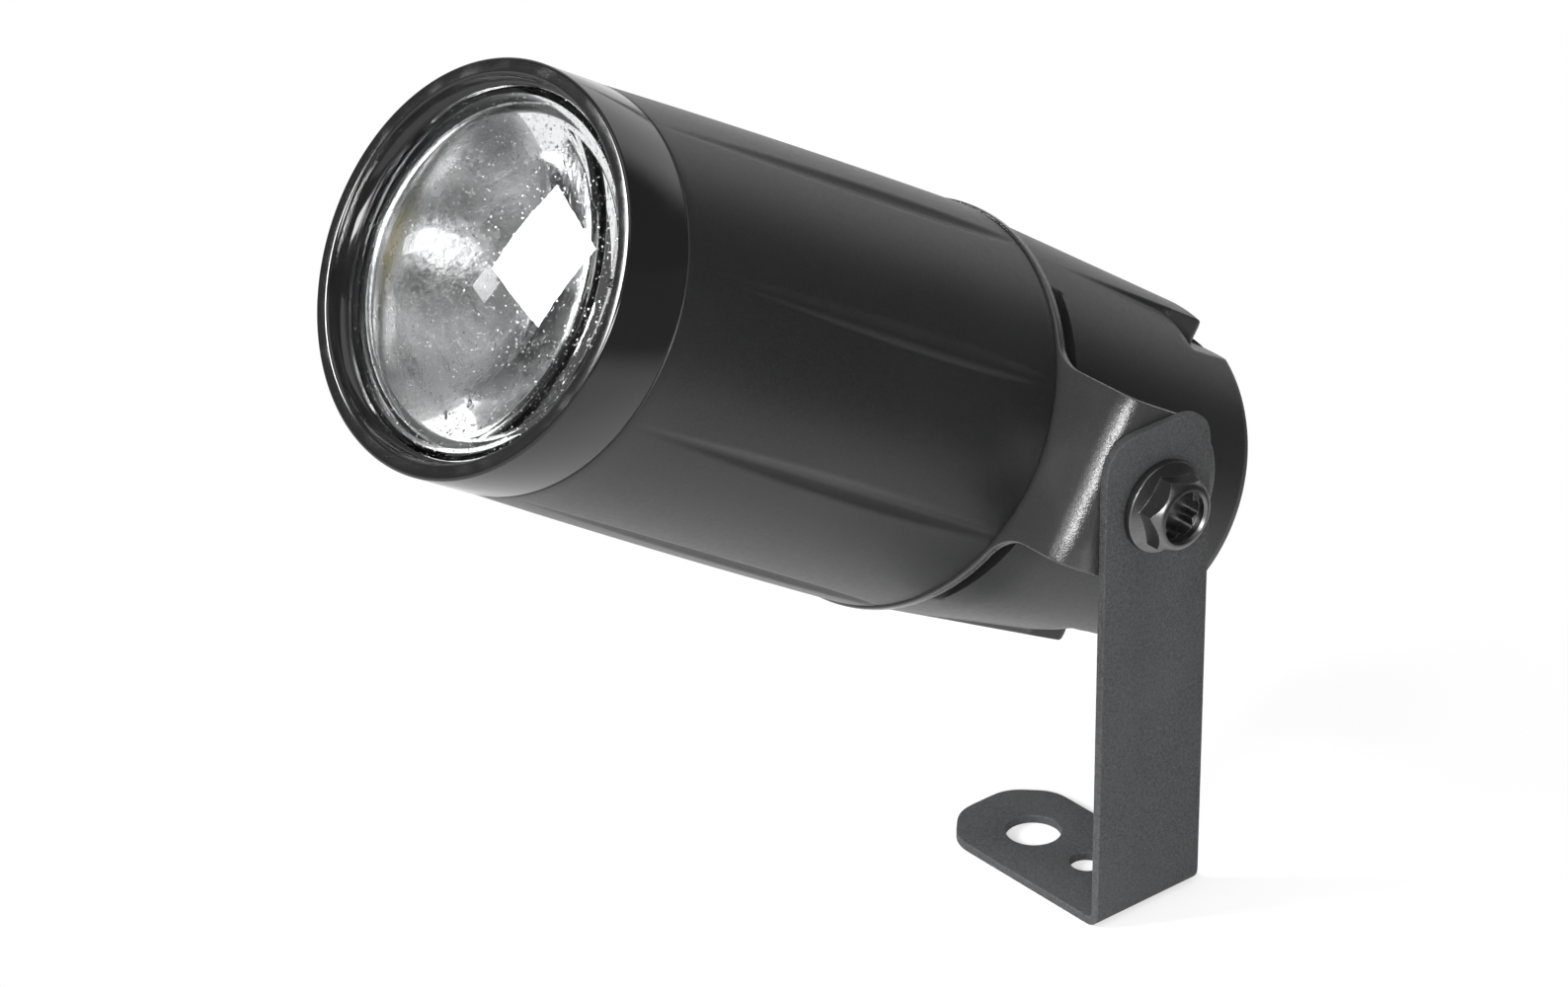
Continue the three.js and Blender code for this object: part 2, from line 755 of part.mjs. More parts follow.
function frontHousing() {
  const outer = frontRingShares.map((share) => [frontRadiusAt(share), frontRear + share * frontLength]);
  const profile = [
    [frontSealRadius, frontRear],
    [frontRearRadius - frontEdge, frontRear],
    [frontRearRadius, frontRear + frontEdge],
    ...outer,
    [frontFrontRadius, seam - frontEdge],
    [frontFrontRadius - frontEdge, seam],
    [neckRadius, seam],
    [neckRadius, neckFront],
    [throatRadius, neckFront],
    [throatRadius, throatRear],
    [opticsBoreRadius, throatRear],
    [opticsBoreRadius, sinkShoulder],
    [serviceBoreRadius, sinkShoulder],
    [serviceBoreRadius, frontRear + sealDepth],
    [frontSealRadius, frontRear + sealDepth],
  ];
  const shell = pressFlutes(turned('z', profile, caseSteps)).rotateZ(THREE.MathUtils.degToRad(caseTurn));
  const bosses = screwBosses(frontRear, frontRear + frontBossLength, serviceBoreRadius);
  const holeRadius = housingScrewRadius + screwClearance;
  const holes = posts(
    housingScrewPlaces(), holeRadius, frontRear - overrun, frontRear + housingScrewBite + seatGap, tinySteps);
  const grooveFront = sinkShoulder - seatGap - sinkPlate;
  const grooveRear = grooveFront - seatGap - clipThickness - seatGap;
  const groove = hoop('z', opticsBoreRadius, serviceBoreRadius + clipGrooveDepth, grooveRear, grooveFront);
  return geometryOf(cut(union(solid(shell), ...bosses), ...holes, solid(groove)));
}

function bezelRing() {
  return turned('z', [
    [neckRadius + seatGap, bezelRear],
    [bezelRadius - bezelEdge, bezelRear],
    [bezelRadius, bezelRear + bezelEdge],
    [bezelRadius, bezelFront - bezelEdge],
    [bezelRadius - bezelEdge, bezelFront],
    [bezelMouthRadius + bezelEdge / 2, bezelFront],
    [bezelMouthRadius, bezelFront - bezelEdge],
    [bezelLipRadius, lipFront],
    [bezelLipRadius, lipRear],
    [neckRadius + seatGap, lipRear],
  ], roundSteps + roundSteps / 2);
}

// Points of a shallow dome from its rim to its axis
function domePoints(radius, sag, base, towards) {
  const sphere = (radius ** 2 + sag ** 2) / (2 * sag);
  const spread = Math.asin(radius / sphere);
  const points = [];
  for (let i = 0; i <= lensSteps; i += 1) {
    const angle = spread * (1 - i / lensSteps);
    const height = sphere * Math.cos(angle) - (sphere - sag);
    points.push([i === lensSteps ? 0 : sphere * Math.sin(angle), base + towards * height]);
  }
  return points;
}

function frontLens() {
  const rear = domePoints(baffleBore - seatGap, lensRearSag, lensRear, -1).reverse();
  const front = domePoints(bezelLipRadius - seatGap, lensFrontSag, lensFront, 1);
  return turned('z', [...rear, [lensRadius, lensRear], [lensRadius, lensFront], ...front], roundSteps);
}

function lensGasket() {
  return hoop('z', lensGasketBore, lensRadius, gasketRear, gasketFront);
}

function baffleRing() {
  const front = lensRear - seatGap;
  return hoop('z', baffleBore, baffleRadius, front - baffleLength, front);
}

const mouthFront = throatRear - seatGap;
const throatEnd = mouthFront - reflectorLength;

function reflectorRadiusAt(share) {
  const area = reflectorThroat ** 2 + (reflectorMouth ** 2 - reflectorThroat ** 2) * share;
  return Math.sqrt(area);
}

function reflector() {
  const inner = [];
  for (let i = 0; i <= reflectorSteps; i += 1) {
    const share = (i / reflectorSteps) ** 2;
    inner.push([reflectorRadiusAt(share), throatEnd + share * reflectorLength]);
  }
  const wallEnd = mouthFront - reflectorFlangeThickness;
  const outer = inner
    .filter(([, along]) => along < wallEnd - reflectorWall)
    .map(([radius, along]) => [radius + reflectorWall, along]);
  return turned('z', [
    ...outer,
    [reflectorMouth + reflectorWall, wallEnd],
    [reflectorFlange, wallEnd],
    [reflectorFlange, mouthFront],
    ...inner.reverse(),
  ], roundSteps);
}

// The light engine, stacked on the heat sink

const sinkFront = sinkShoulder - seatGap;
const padRear = sinkFront + faceGap;
const boardRear = padRear + padThickness + faceGap;
const boardFrontFace = boardRear + ledBoardThickness;
const ledRear = boardFrontFace + faceGap;

function boardScrewPlaces() {
  return [onCircle(boardScrewCircle, 0), onCircle(boardScrewCircle, 180)];
}

function leadPlaces() {
  return [[leadOffset, leadCircle], [-leadOffset, leadCircle]];
}

function heatSink() {
  const plateRear = sinkFront - sinkPlate;
  const finEnd = sinkFront - sinkLength;
  const finCircle = sinkRadius - clipWidth - finInset;
  const clipRoom = solid(disc('z', finCircle, finEnd - overrun, sinkFront));
  const fins = [];
  for (let i = 0; i < finCount; i += 1) {
    const x = (i - (finCount - 1) / 2) * finPitch;
    const fin = block(
      [x - finThickness / 2, -sinkRadius, finEnd],
      [x + finThickness / 2, sinkRadius, plateRear + finThickness],
    );
    fins.push(solid(fin).intersect(clipRoom));
  }
  const plate = solid(disc('z', sinkRadius, plateRear, sinkFront));
  return geometryOf(cut(
    union(plate, ...fins),
    ...drills(boardScrewPlaces(), boardScrewRadius + screwClearance, sinkFront - boardScrewLength, sinkFront),
    ...drills(leadPlaces(), leadRadius + leadHoleClearance, plateRear, sinkFront),
  ));
}

function heatSinkClip() {
  const front = sinkFront - sinkPlate - seatGap;
  const outer = serviceBoreRadius + clipGrooveDepth - seatGap;
  const ring = hoop('z', outer - clipWidth, outer, front - clipThickness, front);
  const opening = block(
    [-clipOpening / 2, -outer - overrun, front - clipThickness - overrun],
    [clipOpening / 2, 0, front + overrun],
  );
  return geometryOf(cut(solid(ring), solid(opening)));
}

function thermalPad() {
  const front = padRear + padThickness;
  const holes = drills(boardScrewPlaces(), boardScrewRadius + screwClearance, padRear, front);
  return geometryOf(cut(solid(disc('z', ledBoardRadius, padRear, front)), ...holes));
}

function ledBoard() {
  const holes = drills(boardScrewPlaces(), boardScrewRadius + screwClearance, boardRear, boardFrontFace);
  return geometryOf(cut(solid(disc('z', ledBoardRadius, boardRear, boardFrontFace)), ...holes));
}

function ledEmitter() {
  const base = ledRear + ledBase;
  const dome = [];
  for (let i = 0; i <= lensSteps; i += 1) {
    const angle = (Math.PI / 2) * (i / lensSteps);
    const radius = i === lensSteps ? 0 : ledDomeRadius * Math.cos(angle);
    dome.push([radius, base + ledDomeHeight * Math.sin(angle)]);
  }
  return turned('z', [[0, ledRear], [ledRadius, ledRear], [ledRadius, base], ...dome], smallSteps);
}

function ledHolder() {
  return hoop('z', ledHolderBore, ledHolderRadius, ledRear, ledRear + ledHolderHeight, roundSteps);
}

// A pan-head screw along Z: its head faces the side given by towards
function panScrew(x, y, seat, towards, size) {
  const points = [
    [0, seat - towards * size.length],
    [size.radius, seat - towards * size.length],
    [size.radius, seat],
    [size.headRadius, seat],
    [size.headRadius, seat + (towards * size.headHeight * 2) / 3],
    [(size.headRadius * 3) / 4, seat + towards * size.headHeight],
    [0, seat + towards * size.headHeight],
  ];
  const profile = towards > 0 ? points : points.reverse();
  const slotHalf = size.headHeight / 4;
  const slotFloor = seat + (towards * size.headHeight) / 2;
  const slotTop = seat + towards * (size.headHeight + overrun);
  const arm = (size.headRadius * 2) / 3;
  const cross = [[arm, slotHalf], [slotHalf, arm]].map(([halfX, halfY]) => solid(block(
    [-halfX, -halfY, Math.min(slotFloor, slotTop)],
    [halfX, halfY, Math.max(slotFloor, slotTop)],
  )));
  return geometryOf(cut(solid(turned('z', profile, smallSteps)), ...cross)).translate(x, y, 0);
}

// A lead leaves the terminal block, passes between the sink's fins and turns in to the LED board
function lead([x, y]) {
  const side = Math.sign(x);
  const startX = side * (terminalWidth / terminalWays);
  const startY = boardTop + terminalSlot + terminalSlot / 2;
  const start = boardFront + faceGap;
  const finEnd = sinkFront - sinkLength;
  const turnOff = sinkFront + leadRise;
  const padEdge = ledBoardRadius - leadRadius * 4;
  const path = new THREE.CatmullRomCurve3([
    new THREE.Vector3(startX, startY, start),
    new THREE.Vector3(startX, startY, start + leadRise),
    new THREE.Vector3(x, y / 2, (start + finEnd) / 2 + leadRise / 2),
    new THREE.Vector3(x, y, finEnd + leadRise / 2),
    new THREE.Vector3(x, y, sinkFront - sinkPlate),
    new THREE.Vector3(x, y, sinkFront + leadRadius),
    new THREE.Vector3(x, (y + padEdge) / 2, turnOff),
    new THREE.Vector3(x, padEdge, boardFrontFace + leadRadius + faceGap),
  ], false, 'centripetal');
  const section = new THREE.Shape();
  for (let i = 0; i < leadSides; i += 1) {
    const [a, b] = onCircle(leadRadius, (360 * i) / leadSides);
    if (i === 0) section.moveTo(a, b);
    else section.lineTo(a, b);
  }
  section.closePath();
  return new THREE.ExtrudeGeometry(section, { steps: smallSteps, extrudePath: path, bevelEnabled: false });
}

// The rear housing

// Outer radius of the rear housing between its ribs, as [share of length from the front, share of drop]
const rearTaperShares = [
  [0, 0], [0.2, 0.11], [0.95, 0.7], [0.972, 0.75], [0.987, 0.84], [0.996, 0.93], [1, 1],
];

function rearRadiusAt(along) {
  const share = (rearFront - along) / rearLength;
  const drop = rearFrontRadius - rearEndRadius;
  for (let i = 1; i < rearTaperShares.length; i += 1) {
    const [from, fromDrop] = rearTaperShares[i - 1];
    const [to, toDrop] = rearTaperShares[i];
    if (share <= to) {
      const part = (share - from) / (to - from);
      return rearFrontRadius - drop * (fromDrop + (toDrop - fromDrop) * part);
    }
  }
  return rearEndRadius;
}

// The tongue that bounds a rib: it narrows to the rear, where its corners are rounded
function ribTongue(turn) {
  const end = rearFront - ribLength;
  const tongue = prism('y', softShape([
    [end, -ribTipHalfWidth, ribCorner],
    [rearFront, -ribHalfWidth, 0],
    [rearFront, ribHalfWidth, 0],
    [end, ribTipHalfWidth, ribCorner],
  ]), 0, rearFrontRadius + overrun);
  return solid(tongue.rotateZ(turn));
}

const coverRear = rearEnd + faceGap;
const coverFront = coverRear + coverThickness;
const coverLedge = coverFront + seatGap + coverSealThickness + faceGap;
const rearInner = rearEnd + rearEndWall;

function coverScrewPlaces() {
  const places = [];
  for (let i = 0; i < coverScrewCount; i += 1) {
    places.push(onCircle(coverScrewCircle, 90 + (360 / coverScrewCount) * i));
  }
  return places;
}

function rearHousing() {
  const profile = rearTaperShares
    .map(([share]) => [rearRadiusAt(rearFront - share * rearLength), rearFront - share * rearLength])
    .reverse();
  const body = solid(turned('z', [[0, rearEnd], ...profile, [0, rearFront]], caseSteps));
  const flats = [0, Math.PI].map((turn) => {
    const slab = block(
      [-rearFrontRadius, ribFlatHeight, rearEnd - overrun],
      [rearFrontRadius, rearFrontRadius + overrun, rearEnd + ribFlatLength],
    );
    return solid(slab.rotateZ(turn));
  });
  const ribEnd = rearFront - ribLength;
  const ribRound = rearWall;
  const rib = solid(turned('z', [
    [0, ribEnd],
    [ribEndRadius - ribRound, ribEnd],
    [ribEndRadius - ribRound / 3, ribEnd + ribRound / 3],
    [ribEndRadius, ribEnd + ribRound],
    [rearFrontRadius, rearFront],
    [0, rearFront],
  ], caseSteps));
  const ribs = [0, Math.PI].map((turn) => rib.intersect(ribTongue(turn)));
  const cavity = solid(turned('z', [
    [0, rearInner],
    [rearBoreEnd, rearInner],
    [rearBoreFront - rearWall, (rearFront + rearInner) / 2],
    [rearBoreFront, rearFront - rearBoreStraight],
    [rearBoreFront, rearFront - sealDepth],
    [rearSealRadius, rearFront - sealDepth],
    [rearSealRadius, rearFront + overrun],
    [0, rearFront + overrun],
  ], roundSteps));
  const coverSeat = solid(turned('z', [
    [0, rearEnd - overrun],
    [coverRadius + seatGap, rearEnd - overrun],
    [coverRadius + seatGap, coverLedge],
    [coverLedgeRadius, coverLedge],
    [coverLedgeRadius, rearInner + overrun],
    [0, rearInner + overrun],
  ], roundSteps));
  const notch = solid(prism('z', notchOutline(), rearFront - lugNotchLength, rearFront + overrun));
  const headRadius = housingScrewHeadRadius + screwClearance;
  const recesses = posts(housingScrewPlaces(), headRadius, rearEnd - overrun, rearEnd + housingScrewRecess);
  const screwHoles = drills(housingScrewPlaces(), housingScrewRadius + screwClearance, rearEnd, rearFront);
  const coverBosses = posts(coverScrewPlaces(), coverBossRadius, coverLedge, coverLedge + coverBossLength);
  const coverHoles = posts(
    coverScrewPlaces(), coverScrewRadius + screwClearance,
    coverLedge - overrun, coverLedge + coverScrewLength, tinySteps);
  const outside = cut(union(cut(body, ...flats), ...ribs), notch);
  const bosses = screwBosses(rearInner, rearFront, rearBoreFront).map((boss) => boss.intersect(outside));
  const shell = cut(outside, cavity, coverSeat);
  return geometryOf(cut(
    union(shell, ...bosses, ...coverBosses), ...screwHoles, ...recesses, ...coverHoles));
}

// The slot round the rear housing's front edge beside the lug. It runs out at both ends.
function notchOutline() {
  const outer = rearFrontRadius + overrun;
  const shape = new THREE.Shape();
  for (let i = 0; i <= smallSteps; i += 1) {
    const share = (2 * i) / smallSteps - 1;
    const depthShare = Math.min(1, (1 - Math.abs(share)) / lugNotchFadeShare);
    const floor = rearFrontRadius - (rearFrontRadius - lugNotchFloorRadius) * depthShare;
    const [x, y] = onCircle(floor, caseTurn - lugNotchHalfAngle * share);
    if (i === 0) shape.moveTo(x, y);
    else shape.lineTo(x, y);
  }
  for (let i = 0; i <= smallSteps; i += 1) {
    const share = (2 * i) / smallSteps - 1;
    shape.lineTo(...onCircle(outer, caseTurn + lugNotchHalfAngle * share));
  }
  shape.closePath();
  return shape;
}

// A seal in the rabbet at a housing's end
function housingSeal(rabbetRadius, from) {
  const outer = rabbetRadius - seatGap;
  return hoop('z', outer - sealWidth, outer, from, from + sealThickness);
}

// Rear cover, with its seal, screws and cable gland

function rearCover() {
  const screwPlaces = [...coverScrewPlaces(), onCircle(earthScrewOffset, earthScrewAngle)];
  return geometryOf(cut(
    solid(disc('z', coverRadius, coverRear, coverFront)),
    ...drills(screwPlaces, coverScrewRadius + screwClearance, coverRear, coverFront),
    ...posts([[0, 0]], glandHoleRadius, coverRear - overrun, coverFront + overrun),
  ));
}

function coverSeal() {
  const rear = coverFront + faceGap;
  const front = rear + coverSealThickness;
  const outer = coverRadius - seatGap;
  const ring = hoop('z', outer - coverSealWidth, outer, rear, front);
  return geometryOf(cut(solid(ring), ...drills(coverScrewPlaces(), coverScrewRadius * 2, rear, front)));
}

function glandBody() {
  const flangeRear = coverRear - seatGap - glandFlange;
  const collarRear = flangeRear - glandCollarLength;
  const threadFront = coverFront + glandThreadReach;
  const flange = solid(prism('z', hexagon(glandFlats), flangeRear, flangeRear + glandFlange));
  const stem = solid(turned('z', [
    [0, collarRear],
    [glandCollarRadius, collarRear],
    [glandCollarRadius, flangeRear + glandFlange / 2],
    [glandThreadRadius, flangeRear + glandFlange / 2],
    [glandThreadRadius, threadFront],
    [0, threadFront],
  ], smallSteps));
  const bore = solid(disc('z', glandBore, collarRear - overrun, threadFront + overrun, smallSteps));
  return geometryOf(cut(union(flange, stem), bore));
}

const glandCollarRear = coverRear - seatGap - glandFlange - glandCollarLength;

function glandSeal() {
  const rear = glandCollarRear + seatGap;
  return hoop('z', glandSealBore, glandSealRadius, rear, rear + glandSealLength, smallSteps);
}

function glandNut() {
  const front = coverRear - seatGap - glandFlange - seatGap;
  const rear = front - glandNutLength;
  const pocketRear = glandCollarRear - seatGap;
  const hex = solid(prism('z', hexagon(glandNutFlats), rear, front));
  const crown = solid(turned('z', [
    [0, rear],
    [glandNutFlats / 2 - glandNutLip, rear],
    [glandNutFlats / Math.sqrt(3), rear + glandNutLip * 2],
    [glandNutFlats / Math.sqrt(3), front],
    [0, front],
  ], smallSteps));
  const mouth = solid(disc('z', glandNutMouth, rear - overrun, front + overrun, smallSteps));
  const pocket = solid(disc('z', glandCollarRadius + seatGap, pocketRear, front + overrun, smallSteps));
  return geometryOf(cut(hex.intersect(crown), mouth, pocket));
}

function glandLocknut() {
  const rear = coverFront + faceGap;
  const front = rear + glandLocknutHeight;
  const nut = solid(prism('z', hexagon(glandLocknutFlats), rear, front));
  return geometryOf(cut(nut, ...posts([[0, 0]], glandHoleRadius, rear - overrun, front + overrun)));
}

// Driver board on its carrier, which stands on the cover's inner face

const boardFront = rearFront - boardFrontRoom;
const boardTop = -boardDrop;
const boardUnder = boardTop - boardThickness;
const carrierTop = boardUnder - faceGap - carrierPost;
const carrierUnder = carrierTop - carrierThickness;
const carrierRear = coverFront + seatGap;
const driverRear = boardFront - boardLength;

function carrierScrewPlaces() {
  const along = boardFront - carrierPostRadius * 2;
  return [[carrierScrewOffset, along], [-carrierScrewOffset, along]];
}

// Places of all the carrier's posts: one pair takes the screws, the other only rests the board
function carrierPostPlaces() {
  const restAlong = driverRear + carrierPostRadius * 2;
  return [...carrierScrewPlaces(), ...carrierScrewPlaces().map(([x]) => [x, restAlong])];
}

// A round solid along Y at an [x, along] place
function upright([x, along], radius, from, to) {
  return solid(disc('y', radius, from, to, tinySteps).translate(x, 0, along));
}

function boardCarrier() {
  const half = carrierWidth / 2;
  const tongueHalf = carrierWidth / 3;
  const floor = solid(block([-half, carrierUnder, driverRear], [half, carrierTop, boardFront]));
  const tongue = solid(block(
    [-tongueHalf, carrierUnder, carrierRear],
    [tongueHalf, carrierTop, driverRear + carrierThickness],
  ));
  const stands = carrierPostPlaces().map((place) => (
    upright(place, carrierPostRadius, carrierTop - carrierThickness, boardUnder - faceGap)
  ));
  const holes = carrierScrewPlaces().map((place) => (
    upright(place, carrierScrewRadius + screwClearance, carrierUnder - overrun, boardUnder + overrun)
  ));
  return geometryOf(cut(union(floor, tongue, ...stands), ...holes));
}

function driverBoard() {
  const half = boardWidth / 2;
  const board = solid(block([-half, boardUnder, driverRear], [half, boardTop, boardFront]));
  const holes = carrierScrewPlaces().map((place) => (
    upright(place, carrierScrewRadius + screwClearance, boardUnder - overrun, boardTop + overrun)
  ));
  return geometryOf(cut(board, ...holes));
}

function carrierScrew([x, along]) {
  const seat = boardTop + faceGap;
  const profile = [
    [0, seat - carrierScrewLength],
    [carrierScrewRadius, seat - carrierScrewLength],
    [carrierScrewRadius, seat],
    [carrierScrewHeadRadius, seat],
    [carrierScrewHeadRadius, seat + carrierScrewHeadHeight / 2],
    [carrierScrewHeadRadius / 2, seat + carrierScrewHeadHeight],
    [0, seat + carrierScrewHeadHeight],
  ];
  return turned('y', profile, tinySteps).translate(x, 0, along);
}

const partSeat = boardTop + faceGap;
const transformerFront = driverRear + transformerLength + bobbinOverhang * 2;

function transformer() {
  const front = transformerFront - bobbinOverhang;
  const rear = front - transformerLength;
  const windingHalf = transformerWidth / 3;
  const windingFoot = partSeat + bobbinOverhang;
  const core = solid(block(
    [-transformerWidth / 2, partSeat, rear],
    [transformerWidth / 2, partSeat + transformerHeight, front],
  ));
  const winding = solid(block(
    [-windingHalf, windingFoot, rear - bobbinOverhang],
    [windingHalf, windingFoot + bobbinHeight, transformerFront],
  ));
  return geometryOf(union(core, winding));
}

function capacitor(radius, height, side) {
  const bead = radius / 8;
  const x = side * (boardWidth / 2 - radius * 2);
  const along = transformerFront + radius + capacitorSpacing;
  const can = turned('y', [
    [0, partSeat],
    [radius, partSeat],
    [radius, partSeat + height - bead],
    [radius - bead, partSeat + height],
    [0, partSeat + height],
  ], smallSteps);
  return can.translate(x, 0, along);
}

function rectifier() {
  const along = driverRear + rectifierWidth;
  return block(
    [rectifierOffset - rectifierWidth / 2, partSeat, along - rectifierLength / 2],
    [rectifierOffset + rectifierWidth / 2, partSeat + rectifierHeight, along + rectifierLength / 2],
  );
}

function terminalBlock() {
  const front = boardFront - seatGap;
  const body = solid(block(
    [-terminalWidth / 2, partSeat, front - terminalLength],
    [terminalWidth / 2, partSeat + terminalHeight, front],
  ));
  const pitch = terminalWidth / terminalWays;
  const slots = [];
  for (let i = 0; i < terminalWays; i += 1) {
    const x = (i - (terminalWays - 1) / 2) * pitch;
    slots.push(solid(block(
      [x - terminalSlot / 2, partSeat + terminalSlot, front - terminalSlot],
      [x + terminalSlot / 2, partSeat + terminalSlot * 2, front + overrun],
    )));
  }
  return geometryOf(cut(body, ...slots));
}

// Assembly

const pinspot = new THREE.Group();

piece(pinspot, 'mounting_bracket', mountingBracket(), 'powderGrey');

const boltGroup = new THREE.Group();
boltGroup.position.set(armOuter, 0, pivotHeight);
pinspot.add(boltGroup);
piece(boltGroup, 'clamp_bolt', clampBolt(), 'darkSteel');

const head = new THREE.Group();
head.position.set(armOuter - armToLampAxis, 0, pivotHeight);
head.rotation.x = THREE.MathUtils.degToRad(90 - restTilt);
pinspot.add(head);
piece(head, 'mounting_ring', mountingRing(), 'glossBlack');
piece(head, 'clamp_nut', clampNut(), 'darkSteel');
piece(head, 'lock_washer', lockWasher(), 'darkSteel');

const lamp = new THREE.Group();
lamp.position.set(0, -lampAxisDrop, 0);
head.add(lamp);
piece(lamp, 'front_housing', frontHousing(), 'castBlack');
piece(lamp, 'bezel_ring', bezelRing(), 'glossBlack');
piece(lamp, 'front_lens', frontLens(), 'glass');
piece(lamp, 'lens_gasket', lensGasket(), 'rubber');
piece(lamp, 'baffle_ring', baffleRing(), 'blackPlastic');
piece(lamp, 'reflector', reflector(), 'mirror');
piece(lamp, 'led_holder', ledHolder(), 'whitePlastic');
piece(lamp, 'led_emitter', ledEmitter(), 'phosphor');
piece(lamp, 'led_board', ledBoard(), 'whitePlastic');
piece(lamp, 'thermal_pad', thermalPad(), 'padGrey');
piece(lamp, 'heat_sink', heatSink(), 'bareAluminium');
piece(lamp, 'heat_sink_clip', heatSinkClip(), 'bareSteel');
piece(lamp, 'front_seal', housingSeal(frontSealRadius, ringFront + faceGap), 'rubber');
piece(lamp, 'rear_seal', housingSeal(rearSealRadius, ringRear - faceGap - sealThickness), 'rubber');
piece(lamp, 'rear_housing', rearHousing(), 'castBlack');
piece(lamp, 'rear_cover', rearCover(), 'castBlack');
piece(lamp, 'cover_seal', coverSeal(), 'rubber');

const boardScrewSize = {
  radius: boardScrewRadius,
  headRadius: boardScrewHeadRadius,
  headHeight: boardScrewHeadHeight,
  length: boardScrewLength,
};
boardScrewPlaces().forEach(([x, y], i) => {
  const screw = panScrew(x, y, boardFrontFace + faceGap, 1, boardScrewSize);
  piece(lamp, `board_screw_${i + 1}`, screw, 'bareSteel');
});

const housingScrewSeat = rearEnd + housingScrewRecess - faceGap;
const housingScrewSize = {
  radius: housingScrewRadius,
  headRadius: housingScrewHeadRadius,
  headHeight: housingScrewHeadHeight,
  length: frontRear + housingScrewBite - housingScrewSeat,
};
housingScrewPlaces().forEach(([x, y], i) => {
  const screw = panScrew(x, y, housingScrewSeat, -1, housingScrewSize);
  piece(lamp, `housing_screw_${i + 1}`, screw, 'bareSteel');
});

const coverScrewSize = {
  radius: coverScrewRadius,
  headRadius: coverScrewHeadRadius,
  headHeight: coverScrewHeadHeight,
  length: coverScrewLength,
};
coverScrewPlaces().forEach(([x, y], i) => {
  const screw = panScrew(x, y, coverRear - faceGap, -1, coverScrewSize);
  piece(lamp, `cover_screw_${i + 1}`, screw, 'bareSteel');
});
const [earthX, earthY] = onCircle(earthScrewOffset, earthScrewAngle);
piece(lamp, 'earth_screw', panScrew(earthX, earthY, coverRear - faceGap, -1, coverScrewSize), 'bareSteel');

piece(lamp, 'gland_body', glandBody(), 'blackPlastic');
piece(lamp, 'gland_seal', glandSeal(), 'rubber');
piece(lamp, 'gland_nut', glandNut(), 'blackPlastic');
piece(lamp, 'gland_locknut', glandLocknut(), 'blackPlastic');

piece(lamp, 'board_carrier', boardCarrier(), 'blackPlastic');
piece(lamp, 'driver_board', driverBoard(), 'circuitGreen');
carrierScrewPlaces().forEach((place, i) => {
  piece(lamp, `carrier_screw_${i + 1}`, carrierScrew(place), 'bareSteel');
});
piece(lamp, 'transformer', transformer(), 'yellowTape');
piece(lamp, 'input_capacitor', capacitor(capacitorRadius, capacitorHeight, -1), 'ferrite');
piece(lamp, 'output_capacitor', capacitor(smallCapacitorRadius, smallCapacitorHeight, 1), 'ferrite');
piece(lamp, 'rectifier', rectifier(), 'blackPlastic');
piece(lamp, 'terminal_block', terminalBlock(), 'terminalGreen');

const leadNames = ['led_lead_positive', 'led_lead_negative'];
const leadFinishes = ['redWire', 'blackWire'];
leadPlaces().forEach((place, i) => {
  piece(lamp, leadNames[i], lead(place), leadFinishes[i]);
});

export default pinspot;
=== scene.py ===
import json
import math

import bmesh
import bpy
from mathutils import Matrix, Vector


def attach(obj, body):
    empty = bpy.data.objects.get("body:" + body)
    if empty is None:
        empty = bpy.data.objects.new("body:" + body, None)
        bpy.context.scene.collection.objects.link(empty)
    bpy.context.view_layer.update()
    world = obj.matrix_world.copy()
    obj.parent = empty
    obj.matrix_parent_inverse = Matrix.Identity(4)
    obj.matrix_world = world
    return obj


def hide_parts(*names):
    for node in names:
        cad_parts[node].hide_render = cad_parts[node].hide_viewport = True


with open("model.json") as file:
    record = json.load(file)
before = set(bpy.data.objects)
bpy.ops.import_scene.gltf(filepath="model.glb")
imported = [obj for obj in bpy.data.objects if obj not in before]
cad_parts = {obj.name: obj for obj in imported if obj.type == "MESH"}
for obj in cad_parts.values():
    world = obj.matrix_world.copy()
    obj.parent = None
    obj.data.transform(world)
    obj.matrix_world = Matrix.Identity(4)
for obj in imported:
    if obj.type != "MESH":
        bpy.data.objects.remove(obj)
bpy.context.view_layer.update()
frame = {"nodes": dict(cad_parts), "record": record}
record = frame["record"]
MM = 0.001

# Places of the lamp, its mounting ring and its bolt
joint_places = {joint["name"]: Vector(joint["pos_m"]) for joint in record["behaviour"]["joints"]}
LAMP_TILT = 31.5
LAMP_SIDE = -31.92
AXIS_DROP = 4.3
CASE_TURN = math.radians(3)
metres = Matrix.Scale(MM, 4)
lamp_pivot = Vector((LAMP_SIDE * MM, 0, joint_places["tilt"].z))
lug_place = Matrix.Translation(lamp_pivot) @ Matrix.Rotation(math.radians(90 - LAMP_TILT), 4, "X") @ metres
lamp_place = lug_place @ Matrix.Translation((0, -AXIS_DROP, 0))
bolt_place = Matrix.Translation(joint_places["clamp_bolt_turn"]) @ metres


# Camera, fitted to the photograph

CAMERA_AZIMUTH, CAMERA_ELEVATION, CAMERA_ROLL = 49.90669, 28.6825, -0.44573
CAMERA_TARGET = Vector((-0.04803, -0.02887, 0.06968))
CAMERA_DISTANCE = 1.12758
FOCAL_PIXELS, PHOTO_WIDTH_PIXELS = 6056.17, 1588
SENSOR_WIDTH = 36


